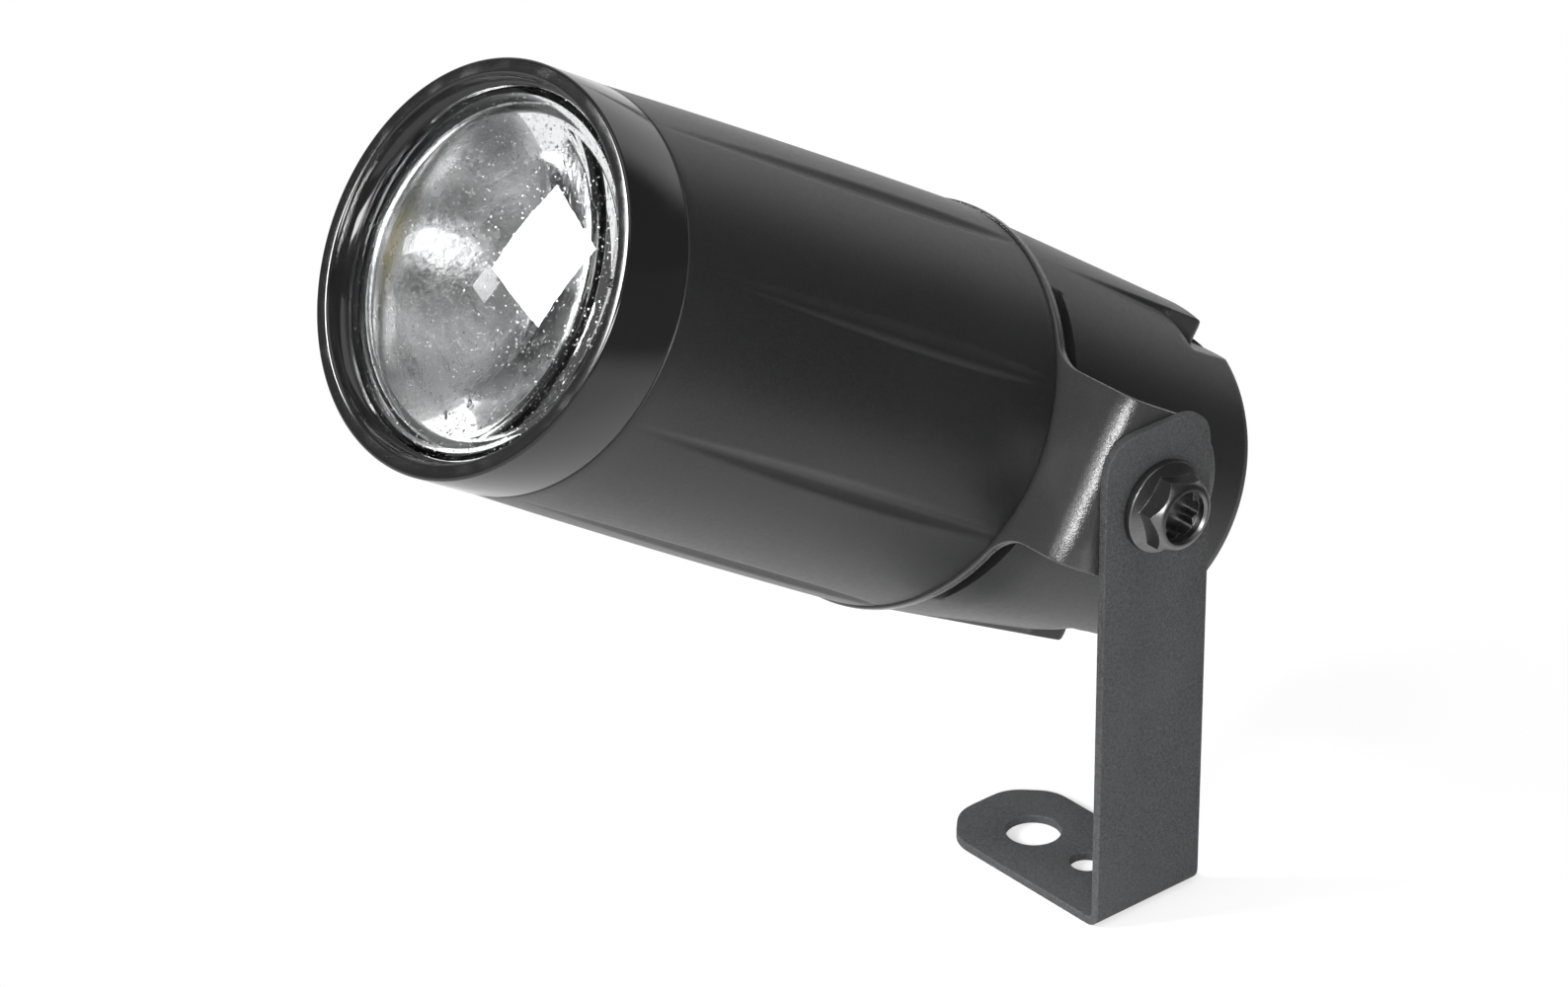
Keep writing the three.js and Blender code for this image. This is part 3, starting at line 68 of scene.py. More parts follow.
def set_camera():
    azimuth, elevation, roll = (math.radians(a) for a in (CAMERA_AZIMUTH, CAMERA_ELEVATION, CAMERA_ROLL))
    back = Vector((
        math.sin(azimuth) * math.cos(elevation),
        -math.cos(azimuth) * math.cos(elevation),
        math.sin(elevation),
    ))
    level = Vector((math.cos(azimuth), math.sin(azimuth), 0))
    upright = back.cross(level)
    right = level * math.cos(roll) + upright * math.sin(roll)
    up = upright * math.cos(roll) - level * math.sin(roll)
    data = bpy.data.cameras.new("camera")
    data.sensor_fit = "HORIZONTAL"
    data.sensor_width = SENSOR_WIDTH
    data.lens = FOCAL_PIXELS / PHOTO_WIDTH_PIXELS * SENSOR_WIDTH
    data.clip_start = 0.05
    data.clip_end = 50
    camera = bpy.data.objects.new("camera", data)
    turn = Matrix((right, up, back)).transposed().to_4x4()
    camera.matrix_world = Matrix.Translation(CAMERA_TARGET + back * CAMERA_DISTANCE) @ turn
    bpy.context.scene.collection.objects.link(camera)
    bpy.context.scene.camera = camera


# Materials

class Wire:
    """One output of a shader node. Arithmetic on it adds Math nodes."""

    def __init__(self, finish, socket):
        self.finish = finish
        self.socket = socket

    def maths(self, operation, *values):
        return self.finish.node("Math", {"operation": operation}, dict(enumerate(values)))

    def __add__(self, other):
        return self.maths("ADD", self, other)

    __radd__ = __add__

    def __sub__(self, other):
        return self.maths("SUBTRACT", self, other)

    def __rsub__(self, other):
        return self.maths("SUBTRACT", other, self)

    def __mul__(self, other):
        return self.maths("MULTIPLY", self, other)

    __rmul__ = __mul__


class Finish:
    """A material, or the world, whose nodes are added by one method."""

    def __init__(self, owner):
        owner.use_nodes = True
        self.owner = owner
        self.tree = owner.node_tree
        self.tree.nodes.clear()

    def node(self, kind, settings=None, values=None, output=0):
        """Adds a node of a kind. Its settings come first, then the values or links of its sockets."""
        made = self.tree.nodes.new("ShaderNode" + kind)
        for key, setting in (settings or {}).items():
            setattr(made, key, setting)
        for key, value in (values or {}).items():
            if isinstance(value, Wire):
                self.tree.links.new(value.socket, made.inputs[key])
            else:
                made.inputs[key].default_value = value
        return Wire(self, made.outputs[output]) if made.outputs else None

    def blend(self, factor, first, second):
        settings = {"data_type": "RGBA", "clamp_factor": True}
        return self.node("Mix", settings, {0: factor, 6: first, 7: second}, 2)

    def step(self, value, low, high):
        settings = {"interpolation_type": "SMOOTHSTEP"}
        return self.node("MapRange", settings, {"Value": value, "From Min": low, "From Max": high})

    def grain(self, scale, detail, stretch=None, roughness=0.5):
        """Noise of a size given in features per metre."""
        place = self.node("TexCoord", output="Object")
        if stretch:
            place = self.node("Mapping", {"vector_type": "POINT"}, {"Vector": place, "Scale": stretch})
        values = {"Vector": place, "Scale": scale, "Detail": detail, "Roughness": roughness}
        return self.node("TexNoise", {"noise_dimensions": "3D"}, values)

    def edges(self, width):
        """How far a rounded edge turns away from the face, 0 on flat faces."""
        rounded = self.node("Bevel", {"samples": 4}, {"Radius": width})
        straight = self.node("NewGeometry", output="Normal")
        along = self.node("VectorMath", {"operation": "DOT_PRODUCT"}, {0: rounded, 1: straight}, "Value")
        return 1 - along

    def specks(self, scale, size, share):
        """Small round dots strewn over the surface. The share leaves that part of the places empty."""
        place = self.node("TexCoord", output="Object")
        settings = {"voronoi_dimensions": "3D", "feature": "F1"}
        values = {"Vector": place, "Scale": scale}
        near = self.node("TexVoronoi", settings, values, "Distance")
        cell = self.node("TexVoronoi", settings, values, "Color")
        chance = self.node("SeparateColor", values={"Color": cell})
        return self.step(near, size, size * 0.5) * self.step(chance, share, share + 0.1)

    def rays(self, *kinds):
        """1 on rays of the named kinds, such as Camera or Glossy, and 0 on all others."""
        found = sum(self.node("LightPath", output=f"Is {kind} Ray") for kind in kinds)
        return found.maths("MINIMUM", found, 1.0)

    def relief(self, height, depth):
        return self.node("Bump", values={"Height": height, "Distance": depth, "Strength": 1.0})

    def surface(self, **values):
        """The finished material. An input such as Base Color is given as Base_Color."""
        inputs = {key.replace("_", " "): value for key, value in values.items()}
        shader = self.node("BsdfPrincipled", values=inputs)
        self.node("OutputMaterial", values={"Surface": shader})
        return self.owner


def new_finish(name):
    return Finish(bpy.data.materials.new(name))


def grey(level, tint=0.0):
    return (level * (1 - tint / 2), level, level * (1 + tint), 1)


def powder_coat():
    """Dark grey powder coat with a fine orange peel, paler on its edges, partly as worn coat and partly as
    a painted edge highlight.
    """
    f = new_finish("grey_powder_coat")
    peel = f.grain(1500, 3)
    speck = f.grain(5200, 2)
    cloud = f.grain(55, 3)
    worn_and_highlit_edge = f.step(f.edges(0.0005) * (0.55 + f.grain(700, 4)), 0.03, 0.3)
    shade = f.blend(f.step(speck * 0.7 + peel * 0.3, 0.35, 0.68), grey(0.036, 0.03), grey(0.092, 0.03))
    shade = f.blend(f.step(cloud, 0.3, 0.75) * 0.3, shade, grey(0.085, 0.02))
    # Paler edges: worn coat, and a painted edge highlight.
    shade = f.blend(worn_and_highlit_edge * 0.6, shade, grey(0.2, 0.0))
    return f.surface(
        Base_Color=shade,
        Roughness=0.5 + 0.2 * speck - 0.1 * worn_and_highlit_edge,
        Normal=f.relief(peel * 0.7 + speck * 0.3, 0.00012),
        Specular_IOR_Level=0.12,
    )


def cast_coat():
    """Charcoal satin coat on the cast housings, with a fine even grain."""
    f = new_finish("charcoal_cast_coat")
    fine = f.grain(4200, 2)
    soft = f.grain(900, 3)
    cloud = f.grain(40, 3)
    worn_and_highlit_edge = f.step(f.edges(0.0005) * (0.5 + f.grain(600, 4)), 0.05, 0.35)
    shade = f.blend(f.step(fine, 0.35, 0.7), grey(0.011, 0.02), grey(0.02, 0.02))
    shade = f.blend(f.step(cloud, 0.35, 0.75) * 0.4, shade, grey(0.022, 0.02))
    # Paler edges: worn coat, and a painted edge highlight.
    shade = f.blend(worn_and_highlit_edge * 0.35, shade, grey(0.10, 0.0))
    return f.surface(
        Base_Color=shade,
        Roughness=0.27 + 0.12 * soft + 0.08 * fine,
        Normal=f.relief(fine * 0.6 + soft * 0.4, 0.00004),
        Specular_IOR_Level=0.36,
    )


def gloss_coat(name, level, roughness, edge_wear_and_highlight, ripple, shine):
    """Black gloss enamel with faint waves, paler on its edges, partly where it is worn thin and partly as a
    painted edge highlight.
    """
    f = new_finish(name)
    wave = f.grain(160, 2)
    fine = f.grain(3800, 2)
    dust = f.step(f.grain(2600, 2, roughness=0.7), 0.68, 0.76)
    worn_and_highlit_edge = f.step(f.edges(0.0004) * (0.5 + f.grain(800, 4)), 0.06, 0.32)
    shade = f.blend(dust * 0.4, grey(level), grey(level * 3 + 0.02))
    # Paler edges: enamel worn thin, and a painted edge highlight.
    shade = f.blend(worn_and_highlit_edge * edge_wear_and_highlight, shade, grey(0.3))
    return f.surface(
        Base_Color=shade,
        Roughness=roughness + 0.1 * f.step(wave, 0.4, 0.8) + 0.15 * dust,
        Normal=f.relief(wave * 0.8 + fine * 0.2, ripple),
        Specular_IOR_Level=shine,
    )


def metal(name, level, roughness, streak, edge_wear_and_highlight):
    """Bare or plated metal with fine turning marks, edges paled by handling wear and a painted edge
    highlight, and painted shade in its hollows.
    """
    f = new_finish(name)
    lines = f.grain(900, 3, stretch=(1, 1, 12))
    cloud = f.grain(260, 4)
    worn_and_highlit_edge = f.step(f.edges(0.00035) * (0.5 + f.grain(900, 4)), 0.03, 0.3)
    painted_hollow_shade = f.node("AmbientOcclusion", {"samples": 8}, {"Distance": 0.006}, "AO")
    shade = f.blend(f.step(lines, 0.3, 0.75) * streak, grey(level), grey(level * 1.5))
    shade = f.blend(f.step(cloud, 0.45, 0.75) * 0.35, shade, grey(level * 0.6))
    # Paler edges: handling wear, and a painted edge highlight.
    shade = f.blend(worn_and_highlit_edge * edge_wear_and_highlight, shade, grey(min(0.85, level * 2.6 + 0.1)))
    # Painted shade: the base colour goes dark where ambient occlusion finds a hollow.
    shade = f.blend(f.step(painted_hollow_shade, 0.12, 0.5), grey(level * 0.12), shade)
    return f.surface(
        Base_Color=shade,
        Metallic=1.0,
        Roughness=roughness + 0.16 * cloud + 0.08 * lines,
        Normal=f.relief(lines * 0.5 + cloud * 0.5, 0.00003),
    )


def tinted(colour, share, lift=0.0):
    """A colour made darker or paler by a share, and lifted a little off black."""
    return tuple(min(1, part * share + lift) for part in colour) + (1,)


def moulded(name, colour, roughness, mottle=0.25):
    """Moulded plastic or rubber with a fine spark-eroded grain."""
    f = new_finish(name)
    fine = f.grain(3400, 2)
    cloud = f.grain(120, 3)
    dark, pale = tinted(colour, 1 - mottle), tinted(colour, 1 + mottle, 0.004)
    shade = f.blend(f.step(fine * 0.5 + cloud * 0.5, 0.35, 0.65), dark, pale)
    worn_and_highlit_edge = f.step(f.edges(0.0003) * (0.5 + f.grain(900, 3)), 0.08, 0.4)
    # Paler edges: worn surface, and a painted edge highlight.
    shade = f.blend(worn_and_highlit_edge * 0.25, shade, tinted(colour, 1.5, 0.03))
    return f.surface(
        Base_Color=shade,
        Roughness=roughness + 0.18 * cloud,
        Normal=f.relief(fine, 0.00004),
    )


def lens_glass():
    """Clear pressed glass with a few seeds, smears and specks of dust on it."""
    f = new_finish("clear_pressed_glass")
    smear = f.step(f.grain(90, 4), 0.5, 0.85)
    speck = f.specks(900, 0.2, 0.55) + 0.8 * f.specks(1700, 0.22, 0.6)
    return f.surface(
        Base_Color=(0.97, 0.98, 0.985, 1),
        Metallic=speck,
        Roughness=0.02 * smear + 0.25 * speck,
        Normal=f.relief(f.grain(140, 2) + 12 * speck, 0.000012),
        Transmission_Weight=1.0,
        IOR=1.5,
    )


def reflector_metal():
    """Vacuum coated reflector, bright and faintly speckled."""
    f = new_finish("bright_reflector_coat")
    speck = f.step(f.grain(1300, 2, roughness=0.6), 0.6, 0.72)
    cloud = f.grain(150, 4)
    shade = f.blend(f.step(cloud, 0.3, 0.7), grey(0.62), grey(0.86))
    shade = f.blend(speck, shade, grey(0.95))
    return f.surface(
        Base_Color=shade,
        Metallic=1.0,
        Roughness=0.16 + 0.2 * cloud,
        Normal=f.relief(f.grain(800, 3), 0.00008),
    )


finishes = {
    "bracket_paint": powder_coat(),
    "ring_paint": gloss_coat(
        "black_gloss_enamel", level=0.04, roughness=0.12, edge_wear_and_highlight=0.35, ripple=0.0003, shine=0.85),
    "dark_steel": metal("dark_plated_steel", level=0.16, roughness=0.2, streak=0.5, edge_wear_and_highlight=0.6),
    "bare_steel": metal("zinc_plated_steel", level=0.5, roughness=0.28, streak=0.4, edge_wear_and_highlight=0.3),
    "cast_body": cast_coat(),
    "gloss_body": gloss_coat(
        "black_gloss_cast_coat", level=0.01, roughness=0.09, edge_wear_and_highlight=0.3, ripple=0.00001, shine=0.5),
    "bare_aluminium": metal("sawn_aluminium", level=0.62, roughness=0.34, streak=0.5, edge_wear_and_highlight=0.2),
    "clear_glass": lens_glass(),
    "reflector_coat": reflector_metal(),
    "black_rubber": moulded("black_rubber", (0.018, 0.018, 0.018), 0.68),
    "black_plastic": moulded("black_moulded_plastic", (0.022, 0.022, 0.024), 0.42),
    "white_plastic": moulded("white_moulded_plastic", (0.78, 0.78, 0.75), 0.4, mottle=0.06),
    "led_phosphor": moulded("yellow_phosphor", (0.8, 0.7, 0.34), 0.3, mottle=0.1),
    "pad_silicone": moulded("grey_silicone_pad", (0.36, 0.38, 0.4), 0.6, mottle=0.12),
    "circuit_green": moulded("green_solder_mask", (0.03, 0.16, 0.07), 0.3, mottle=0.2),
    "transformer_core": moulded("yellow_core_tape", (0.6, 0.4, 0.05), 0.45, mottle=0.15),
    "capacitor_sleeve": moulded("dark_shrink_sleeve", (0.02, 0.02, 0.03), 0.25, mottle=0.2),
    "terminal_green": moulded("green_terminal_plastic", (0.04, 0.24, 0.1), 0.4, mottle=0.15),
    "red_insulation": moulded("red_wire_insulation", (0.42, 0.02, 0.02), 0.35, mottle=0.12),
    "black_insulation": moulded("black_wire_insulation", (0.018, 0.018, 0.018), 0.35, mottle=0.2),
}

slot_of = {entry["node"]: entry["material_slot"] for entry in record["subparts"]}
for node_name, node_object in frame["nodes"].items():
    node_object.data.materials.clear()
    node_object.data.materials.append(finishes[slot_of[node_name]])


# Shapes, in millimetres. Points closer than WELD are merged, and a HAIR keeps them apart.

WELD = 0.0005
HAIR = 0.001


def ring_shape(profile, steps, closed=True):
    """Spins a profile of (radius, along) points about Z. A closed profile makes a ring."""
    bm = bmesh.new()
    points = [bm.verts.new((radius, 0, along)) for radius, along in profile]
    pairs = list(zip(points, points[1:]))
    if closed:
        pairs.append((points[-1], points[0]))
    lines = [bm.edges.new(pair) for pair in pairs]
    bmesh.ops.spin(
        bm, geom=points + lines, axis=(0, 0, 1), cent=(0, 0, 0),
        angle=2 * math.pi, steps=steps, use_merge=True)
    bmesh.ops.remove_doubles(bm, verts=bm.verts, dist=WELD)
    bmesh.ops.recalc_face_normals(bm, faces=bm.faces)
    return bm


def arc(centre, radius, start, end, steps):
    """Points on an arc, with its angles in degrees."""
    turns = [math.radians(start + (end - start) * i / steps) for i in range(steps + 1)]
    return [(centre[0] + radius * math.cos(a), centre[1] + radius * math.sin(a)) for a in turns]


def rod(radius, low, high, steps):
    return ring_shape([(0, low), (radius, low), (radius, high), (0, high)], steps, closed=False)


def laid_along_x(bm):
    """Turns a shape that was spun about Z so that its axis is X."""
    turn = Matrix(((0, 0, 1), (1, 0, 0), (0, 1, 0)))
    bmesh.ops.transform(bm, matrix=turn.to_4x4(), verts=bm.verts)
    return bm


def prism_shape(outline, low, high):
    """An outline of (x, y) points carried from low to high along Z."""
    bm = bmesh.new()
    face = bm.faces.new([bm.verts.new((x, y, low)) for x, y in outline])
    raised = bmesh.ops.extrude_face_region(bm, geom=[face])
    tops = [v for v in raised["geom"] if isinstance(v, bmesh.types.BMVert)]
    bmesh.ops.translate(bm, verts=tops, vec=(0, 0, high - low))
    bmesh.ops.recalc_face_normals(bm, faces=bm.faces)
    return bm


def as_object(bm, name):
    mesh = bpy.data.meshes.new(name)
    bm.to_mesh(mesh)
    bm.free()
    made = bpy.data.objects.new(name, mesh)
    bpy.context.scene.collection.objects.link(made)
    return made


def carved(bm, cutters, operation="DIFFERENCE"):
    """The shape after other shapes are cut from it, or after it is kept only inside them."""
    body = as_object(bm, "blank")
    tools = [as_object(cutter, "cutter") for cutter in cutters]
    for tool in tools:
        step = body.modifiers.new("carve", "BOOLEAN")
        step.operation = operation
        step.solver = "EXACT"
        step.object = tool
    shaped = body.evaluated_get(bpy.context.evaluated_depsgraph_get())
    result = bmesh.new()
    result.from_mesh(shaped.to_mesh())
    shaped.to_mesh_clear()
    for used in [body, *tools]:
        mesh = used.data
        bpy.data.objects.remove(used)
        bpy.data.meshes.remove(mesh)
    bmesh.ops.remove_doubles(result, verts=result.verts, dist=WELD)
    return result


def finished(bm, name, place, slot, body, nodes, edge=0.25, segments=2, angle=32, crisp=None):
    """Puts a shape in its place, softens its edges and lets it stand for its CAD nodes."""
    bmesh.ops.transform(bm, matrix=place, verts=bm.verts)
    made = as_object(bm, name)
    made.data.shade_smooth()
    if crisp:
        made.data.set_sharp_from_angle(angle=math.radians(crisp))
    if edge:
        soft = made.modifiers.new("soft_edges", "BEVEL")
        soft.width = edge * MM
        soft.segments = segments
        soft.limit_method = "ANGLE"
        soft.angle_limit = math.radians(angle)
        soft.harden_normals = True
        soft.use_clamp_overlap = True
    made.data.materials.append(finishes[slot])
    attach(made, body)
    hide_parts(*nodes)


def smooth_share(value, low, high):
    """How far a value is from low to high, from 0 to 1, with a soft start and end."""
    share = min(1, max(0, (value - low) / (high - low)))
    return share * share * (3 - 2 * share)


# Housings, turned about the lamp axis and measured forwards from the pivot

CASE_BORE, SEAL_RADIUS, SEAL_DEPTH = 35.2, 37.3, 1.2
FRONT_REAR, SEAM, NECK = 15.65, 114.8, 121.45
FRONT_RADIUS, FRONT_TAPER = 38.9, 1.5
FLUTES, FLUTE_DEPTH, FLUTE_FORM = 8, 1.0, 1.35
FLUTE_HALF_WIDTH, FLUTE_SPREAD = 0.6, 1.9


def front_radius(share):
    return FRONT_RADIUS - FRONT_TAPER * share ** 2


def flute_depth(share):
    """Depth of a flute along the housing, as a share of its greatest depth."""
    if not 0 < share < 1:
        return 0
    rise, fall = 0.7, 1.3
    peak = rise / (rise + fall)
    return (share / peak) ** rise * ((1 - share) / (1 - peak)) ** fall


def cut_flutes(bm):
    """Presses shallow flutes into the front housing's skin. Deeper points stay where they are."""
    pitch = 2 * math.pi / FLUTES
    skin = 0.4
    for vert in bm.verts:
        radius = math.hypot(vert.co.x, vert.co.y)
        share = (vert.co.z - FRONT_REAR) / (SEAM - FRONT_REAR)
        turn = math.atan2(vert.co.y, vert.co.x) / pitch - 0.5
        off_centre = abs(turn - round(turn)) * pitch * radius
        depth = flute_depth(share)
        half_width = FLUTE_HALF_WIDTH + FLUTE_SPREAD * depth
        outside = radius > front_radius(1) - skin and share < 1
        if outside and off_centre < half_width:
            dip = FLUTE_DEPTH * depth * (1 - (off_centre / half_width) ** FLUTE_FORM)
            vert.co.x *= 1 - dip / radius
            vert.co.y *= 1 - dip / radius


def front_housing():
    rear_edge, front_edge = 0.7, 0.5
    neck_radius, neck_bore, neck_floor = 35, 32.5, 109.8
    bore, bore_rear = 33.8, 61.8
    seal_floor = FRONT_REAR + SEAL_DEPTH
    shares = [i / 44 for i in range(1, 44)]
    profile = [
        (SEAL_RADIUS, FRONT_REAR),
        *arc((FRONT_RADIUS - rear_edge, FRONT_REAR + rear_edge), rear_edge, 270, 360, 4),
        *[(front_radius(share), FRONT_REAR + share * (SEAM - FRONT_REAR)) for share in shares],
        *arc((front_radius(1) - front_edge, SEAM - front_edge), front_edge, 0, 90, 4),
        (neck_radius, SEAM), (neck_radius, NECK), (neck_bore, NECK), (neck_bore, neck_floor),
        (bore, neck_floor), (bore, bore_rear), (CASE_BORE, bore_rear),
        (CASE_BORE, seal_floor), (SEAL_RADIUS, seal_floor),
    ]
    bm = ring_shape(profile, steps=512)
    cut_flutes(bm)
    bmesh.ops.rotate(bm, verts=bm.verts, matrix=Matrix.Rotation(CASE_TURN, 3, "Z"))
    finished(bm, "front_housing_shell", lamp_place, "cast_body", "head", ["front_housing"], edge=0.15)


# REAR_TAPER pairs shares of the rear housing's length with shares of its drop in radius
REAR_FRONT, REAR_END = 13.35, -52.5
REAR_LENGTH = REAR_FRONT - REAR_END
REAR_RADIUS, REAR_DROP = 38.3, 7.4
REAR_TAPER = [(0, 0), (0.2, 0.11), (0.95, 0.7), (0.972, 0.75), (0.987, 0.84), (0.996, 0.93), (1, 1)]
RIB_END, RIB_REACH, RIB_ROUND, RIB_CORNER = -49.95, 34.6, 3, 2.5
RIB_REAR_HALF, RIB_FRONT_HALF = 7.4, 14.4
FLAT_HEIGHT, FLAT_FRONT, FLAT_FADE = 29.1, -36.3, 1.3
LUG_TURN, LUG_SPREAD, LUG_REAR, LUG_DEPTH, LUG_FADE = 3, 54, 8.76, 2.6, 0.16

# Columns of points are counted in degrees, and those near a rib's flank are drawn close to it
RIB_COLUMN, FLANK_COLUMNS, FLANK_TURN = 20.25, 1.5, 0.8
FLANK_START, FLANK_END = RIB_COLUMN - FLANK_COLUMNS, RIB_COLUMN + FLANK_COLUMNS


def rear_radius(along):
    """Radius of the rear housing between its ribs: a cone with a rounded rear rim."""
    share = min(max((REAR_FRONT - along) / REAR_LENGTH, 0), 1)
    before, after = next(pair for pair in zip(REAR_TAPER, REAR_TAPER[1:]) if share <= pair[1][0])
    within = (share - before[0]) / (after[0] - before[0])
    return REAR_RADIUS - REAR_DROP * (before[1] + (after[1] - before[1]) * within)


def rib_share(along):
    return (along - RIB_END) / (REAR_FRONT - RIB_END)


def rib_radius(along):
    """Radius of the ribs' backs, with their rear ends rounded over."""
    if along < RIB_END:
        return 0
    back = RIB_REACH + (REAR_RADIUS - RIB_REACH) * rib_share(along)
    short = max(0, RIB_END + RIB_ROUND - along)
    return back - RIB_ROUND + math.sqrt(max(0, RIB_ROUND ** 2 - short ** 2))


def rib_half_width(along):
    """Half the width of a rib, which narrows to the rear and ends in rounded corners."""
    half = RIB_REAR_HALF + (RIB_FRONT_HALF - RIB_REAR_HALF) * rib_share(along)
    corner = min(1, math.sqrt(max(0, along - RIB_END) / RIB_CORNER))
    return half - RIB_CORNER * (1 - corner) ** 2


def turn_off_rib(column, flank):
    """Where a column of points stands, in degrees off the rib's middle, drawn close at its flank."""
    if column < FLANK_START:
        return column / FLANK_START * (flank - FLANK_TURN)
    if column < FLANK_END:
        return flank + (column - RIB_COLUMN) / FLANK_COLUMNS * FLANK_TURN
    share = (column - FLANK_END) / (90 - FLANK_END)
    return flank + FLANK_TURN + share * (90 - flank - FLANK_TURN)


def form_ribs(bm):
    """Raises the ribs, sinks the flats beside them and makes room for the lug, all in the skin."""
    skin = 0.45
    for vert in bm.verts:
        radius = math.hypot(vert.co.x, vert.co.y)
        along = vert.co.z
        if radius < rear_radius(along) - skin or along < REAR_END + HAIR / 2:
            continue
        column = math.degrees(math.atan2(abs(vert.co.x), abs(vert.co.y)))
        flank = math.degrees(math.asin(rib_half_width(along) / radius))
        off_rib = turn_off_rib(column, flank)
        height = radius
        flat = FLAT_HEIGHT / max(0.3, math.cos(math.radians(off_rib)))
        if flat < height:
            height += (flat - height) * smooth_share(FLAT_FRONT - along, 0, FLAT_FADE)
        rib = rib_radius(along)
        if rib > height:
            height += (rib - height) * (1 - smooth_share(column, FLANK_START, FLANK_END))
        off_lug = abs(math.copysign(90 - off_rib, vert.co.y) - LUG_TURN) / LUG_SPREAD
        if along > LUG_REAR and off_lug < 1 and vert.co.x > 0:
            height = min(height, REAR_RADIUS - LUG_DEPTH * min(1, (1 - off_lug) / LUG_FADE))
        turn = math.radians(off_rib)
        vert.co.x = math.copysign(height * math.sin(turn), vert.co.x)
        vert.co.y = math.copysign(height * math.cos(turn), vert.co.y)


def rear_stations(front_edge):
    """Places of the rings of points along the rear housing, close together where its form turns."""
    crease, step, past_flat, rim_gap = 0.03, 0.02, 0.2, 0.05
    fine, coarse = 0.6, 2.6
    rim = REAR_FRONT - front_edge - rim_gap
    kinks = [REAR_FRONT - REAR_LENGTH * share for share, drop in reversed(REAR_TAPER[3:])]
    kinks.append(RIB_END - crease)
    stations = [place for low, high in zip(kinks, kinks[1:]) for place in (low, (low + high) / 2)]
    stations[0] += HAIR
    stations.append(RIB_END - crease)
    stations += [RIB_END + RIB_ROUND * (1 - math.cos(math.radians(10 * i))) for i in range(10)]
    stations += [FLAT_FRONT - FLAT_FADE - fine * i for i in reversed(range(16))]
    stations += [FLAT_FRONT - past_flat + coarse * i for i in range(18)]
    stations += [LUG_REAR - step, LUG_REAR + step]
    stations += [LUG_REAR + (rim - LUG_REAR) * i / 4 for i in range(1, 5)]
    return stations


def rear_housing():
    face_radius, front_edge = 30, 0.4
    bore, bore_end = 33.8, -0.65
    waist_radius, waist = 30.8, -16.1
    floor_radius, floor = 26.5, -45.5
    opening, cover_radius, cover_seat = 18.4, 21.25, -48.65
    screw_circle, recess_radius, recess_depth = 26, 3.8, 3
    profile = [
        (face_radius, REAR_END),
        *[(rear_radius(along), along) for along in rear_stations(front_edge)],
        *arc((REAR_RADIUS - front_edge, REAR_FRONT - front_edge), front_edge, 0, 90, 3),
        (CASE_BORE, REAR_FRONT), (CASE_BORE, REAR_FRONT - SEAL_DEPTH),
        (bore, REAR_FRONT - SEAL_DEPTH), (bore, bore_end), (waist_radius, waist),
        (floor_radius, floor), (opening, floor), (opening, cover_seat),
        (cover_radius, cover_seat), (cover_radius, REAR_END),
    ]
    bm = ring_shape(profile, steps=480)
    form_ribs(bm)
    recesses = []
    for i in range(4):
        recess = rod(recess_radius, REAR_END - 2, REAR_END + recess_depth, 32)
        turn = math.radians(45 + 90 * i)
        place = (screw_circle * math.cos(turn), screw_circle * math.sin(turn), 0)
        bmesh.ops.translate(recess, verts=recess.verts, vec=place)
        recesses.append(recess)
    bm = carved(bm, recesses)
    finished(bm, "rear_housing_shell", lamp_place, "cast_body", "head", ["rear_housing"], edge=0, crisp=50)


# The bezel and what it holds

def bezel_ring():
    radius, bore, mouth, lip = 37.46, 35.25, 34.4, 33.4
    rear, front, lens_face = 115.05, 129.8, 125
    rear_edge, front_edge, mouth_edge, lip_edge = 0.4, 0.6, 0.7, 0.3
    profile = [
        (bore, rear),
        *arc((radius - rear_edge, rear + rear_edge), rear_edge, 270, 360, 5),
        *arc((radius - front_edge, front - front_edge), front_edge, 0, 90, 6),
        *arc((mouth + mouth_edge, front - mouth_edge), mouth_edge, 90, 180, 6),
        (mouth - 0.1, front - 1.2), (lip + 0.35, lens_face + 1.4),
        *arc((lip + lip_edge, lens_face + 1.1), lip_edge, 110, 180, 3),
        (lip, lens_face), (bore, lens_face),
    ]
    bm = ring_shape(profile, steps=256)
    finished(bm, "bezel_ring_turned", lamp_place, "gloss_body", "head", ["bezel_ring"], edge=0)


def dome(radius, sag, base, towards, steps):
    """Points of a shallow dome, from its rim to its middle."""
    sphere = (radius ** 2 + sag ** 2) / (2 * sag)
    spread = math.asin(radius / sphere)
    points = []
    for i in range(steps + 1):
        turn = spread * (1 - i / steps)
        rise = sphere * math.cos(turn) - sphere + sag
        points.append((sphere * math.sin(turn), base + towards * rise))
    return points


def front_lens():
    radius, rear, front = 34.8, 122.55, 124.75
    rear_dome = dome(29.35, 9, rear, -1, 24)
    front_dome = dome(33.15, 4.9, front, 1, 24)
    bm = ring_shape([*reversed(rear_dome), (radius, rear), (radius, front), *front_dome], 192, closed=False)
    finished(bm, "front_lens_pressed", lamp_place, "clear_glass", "head", ["front_lens"], edge=0)


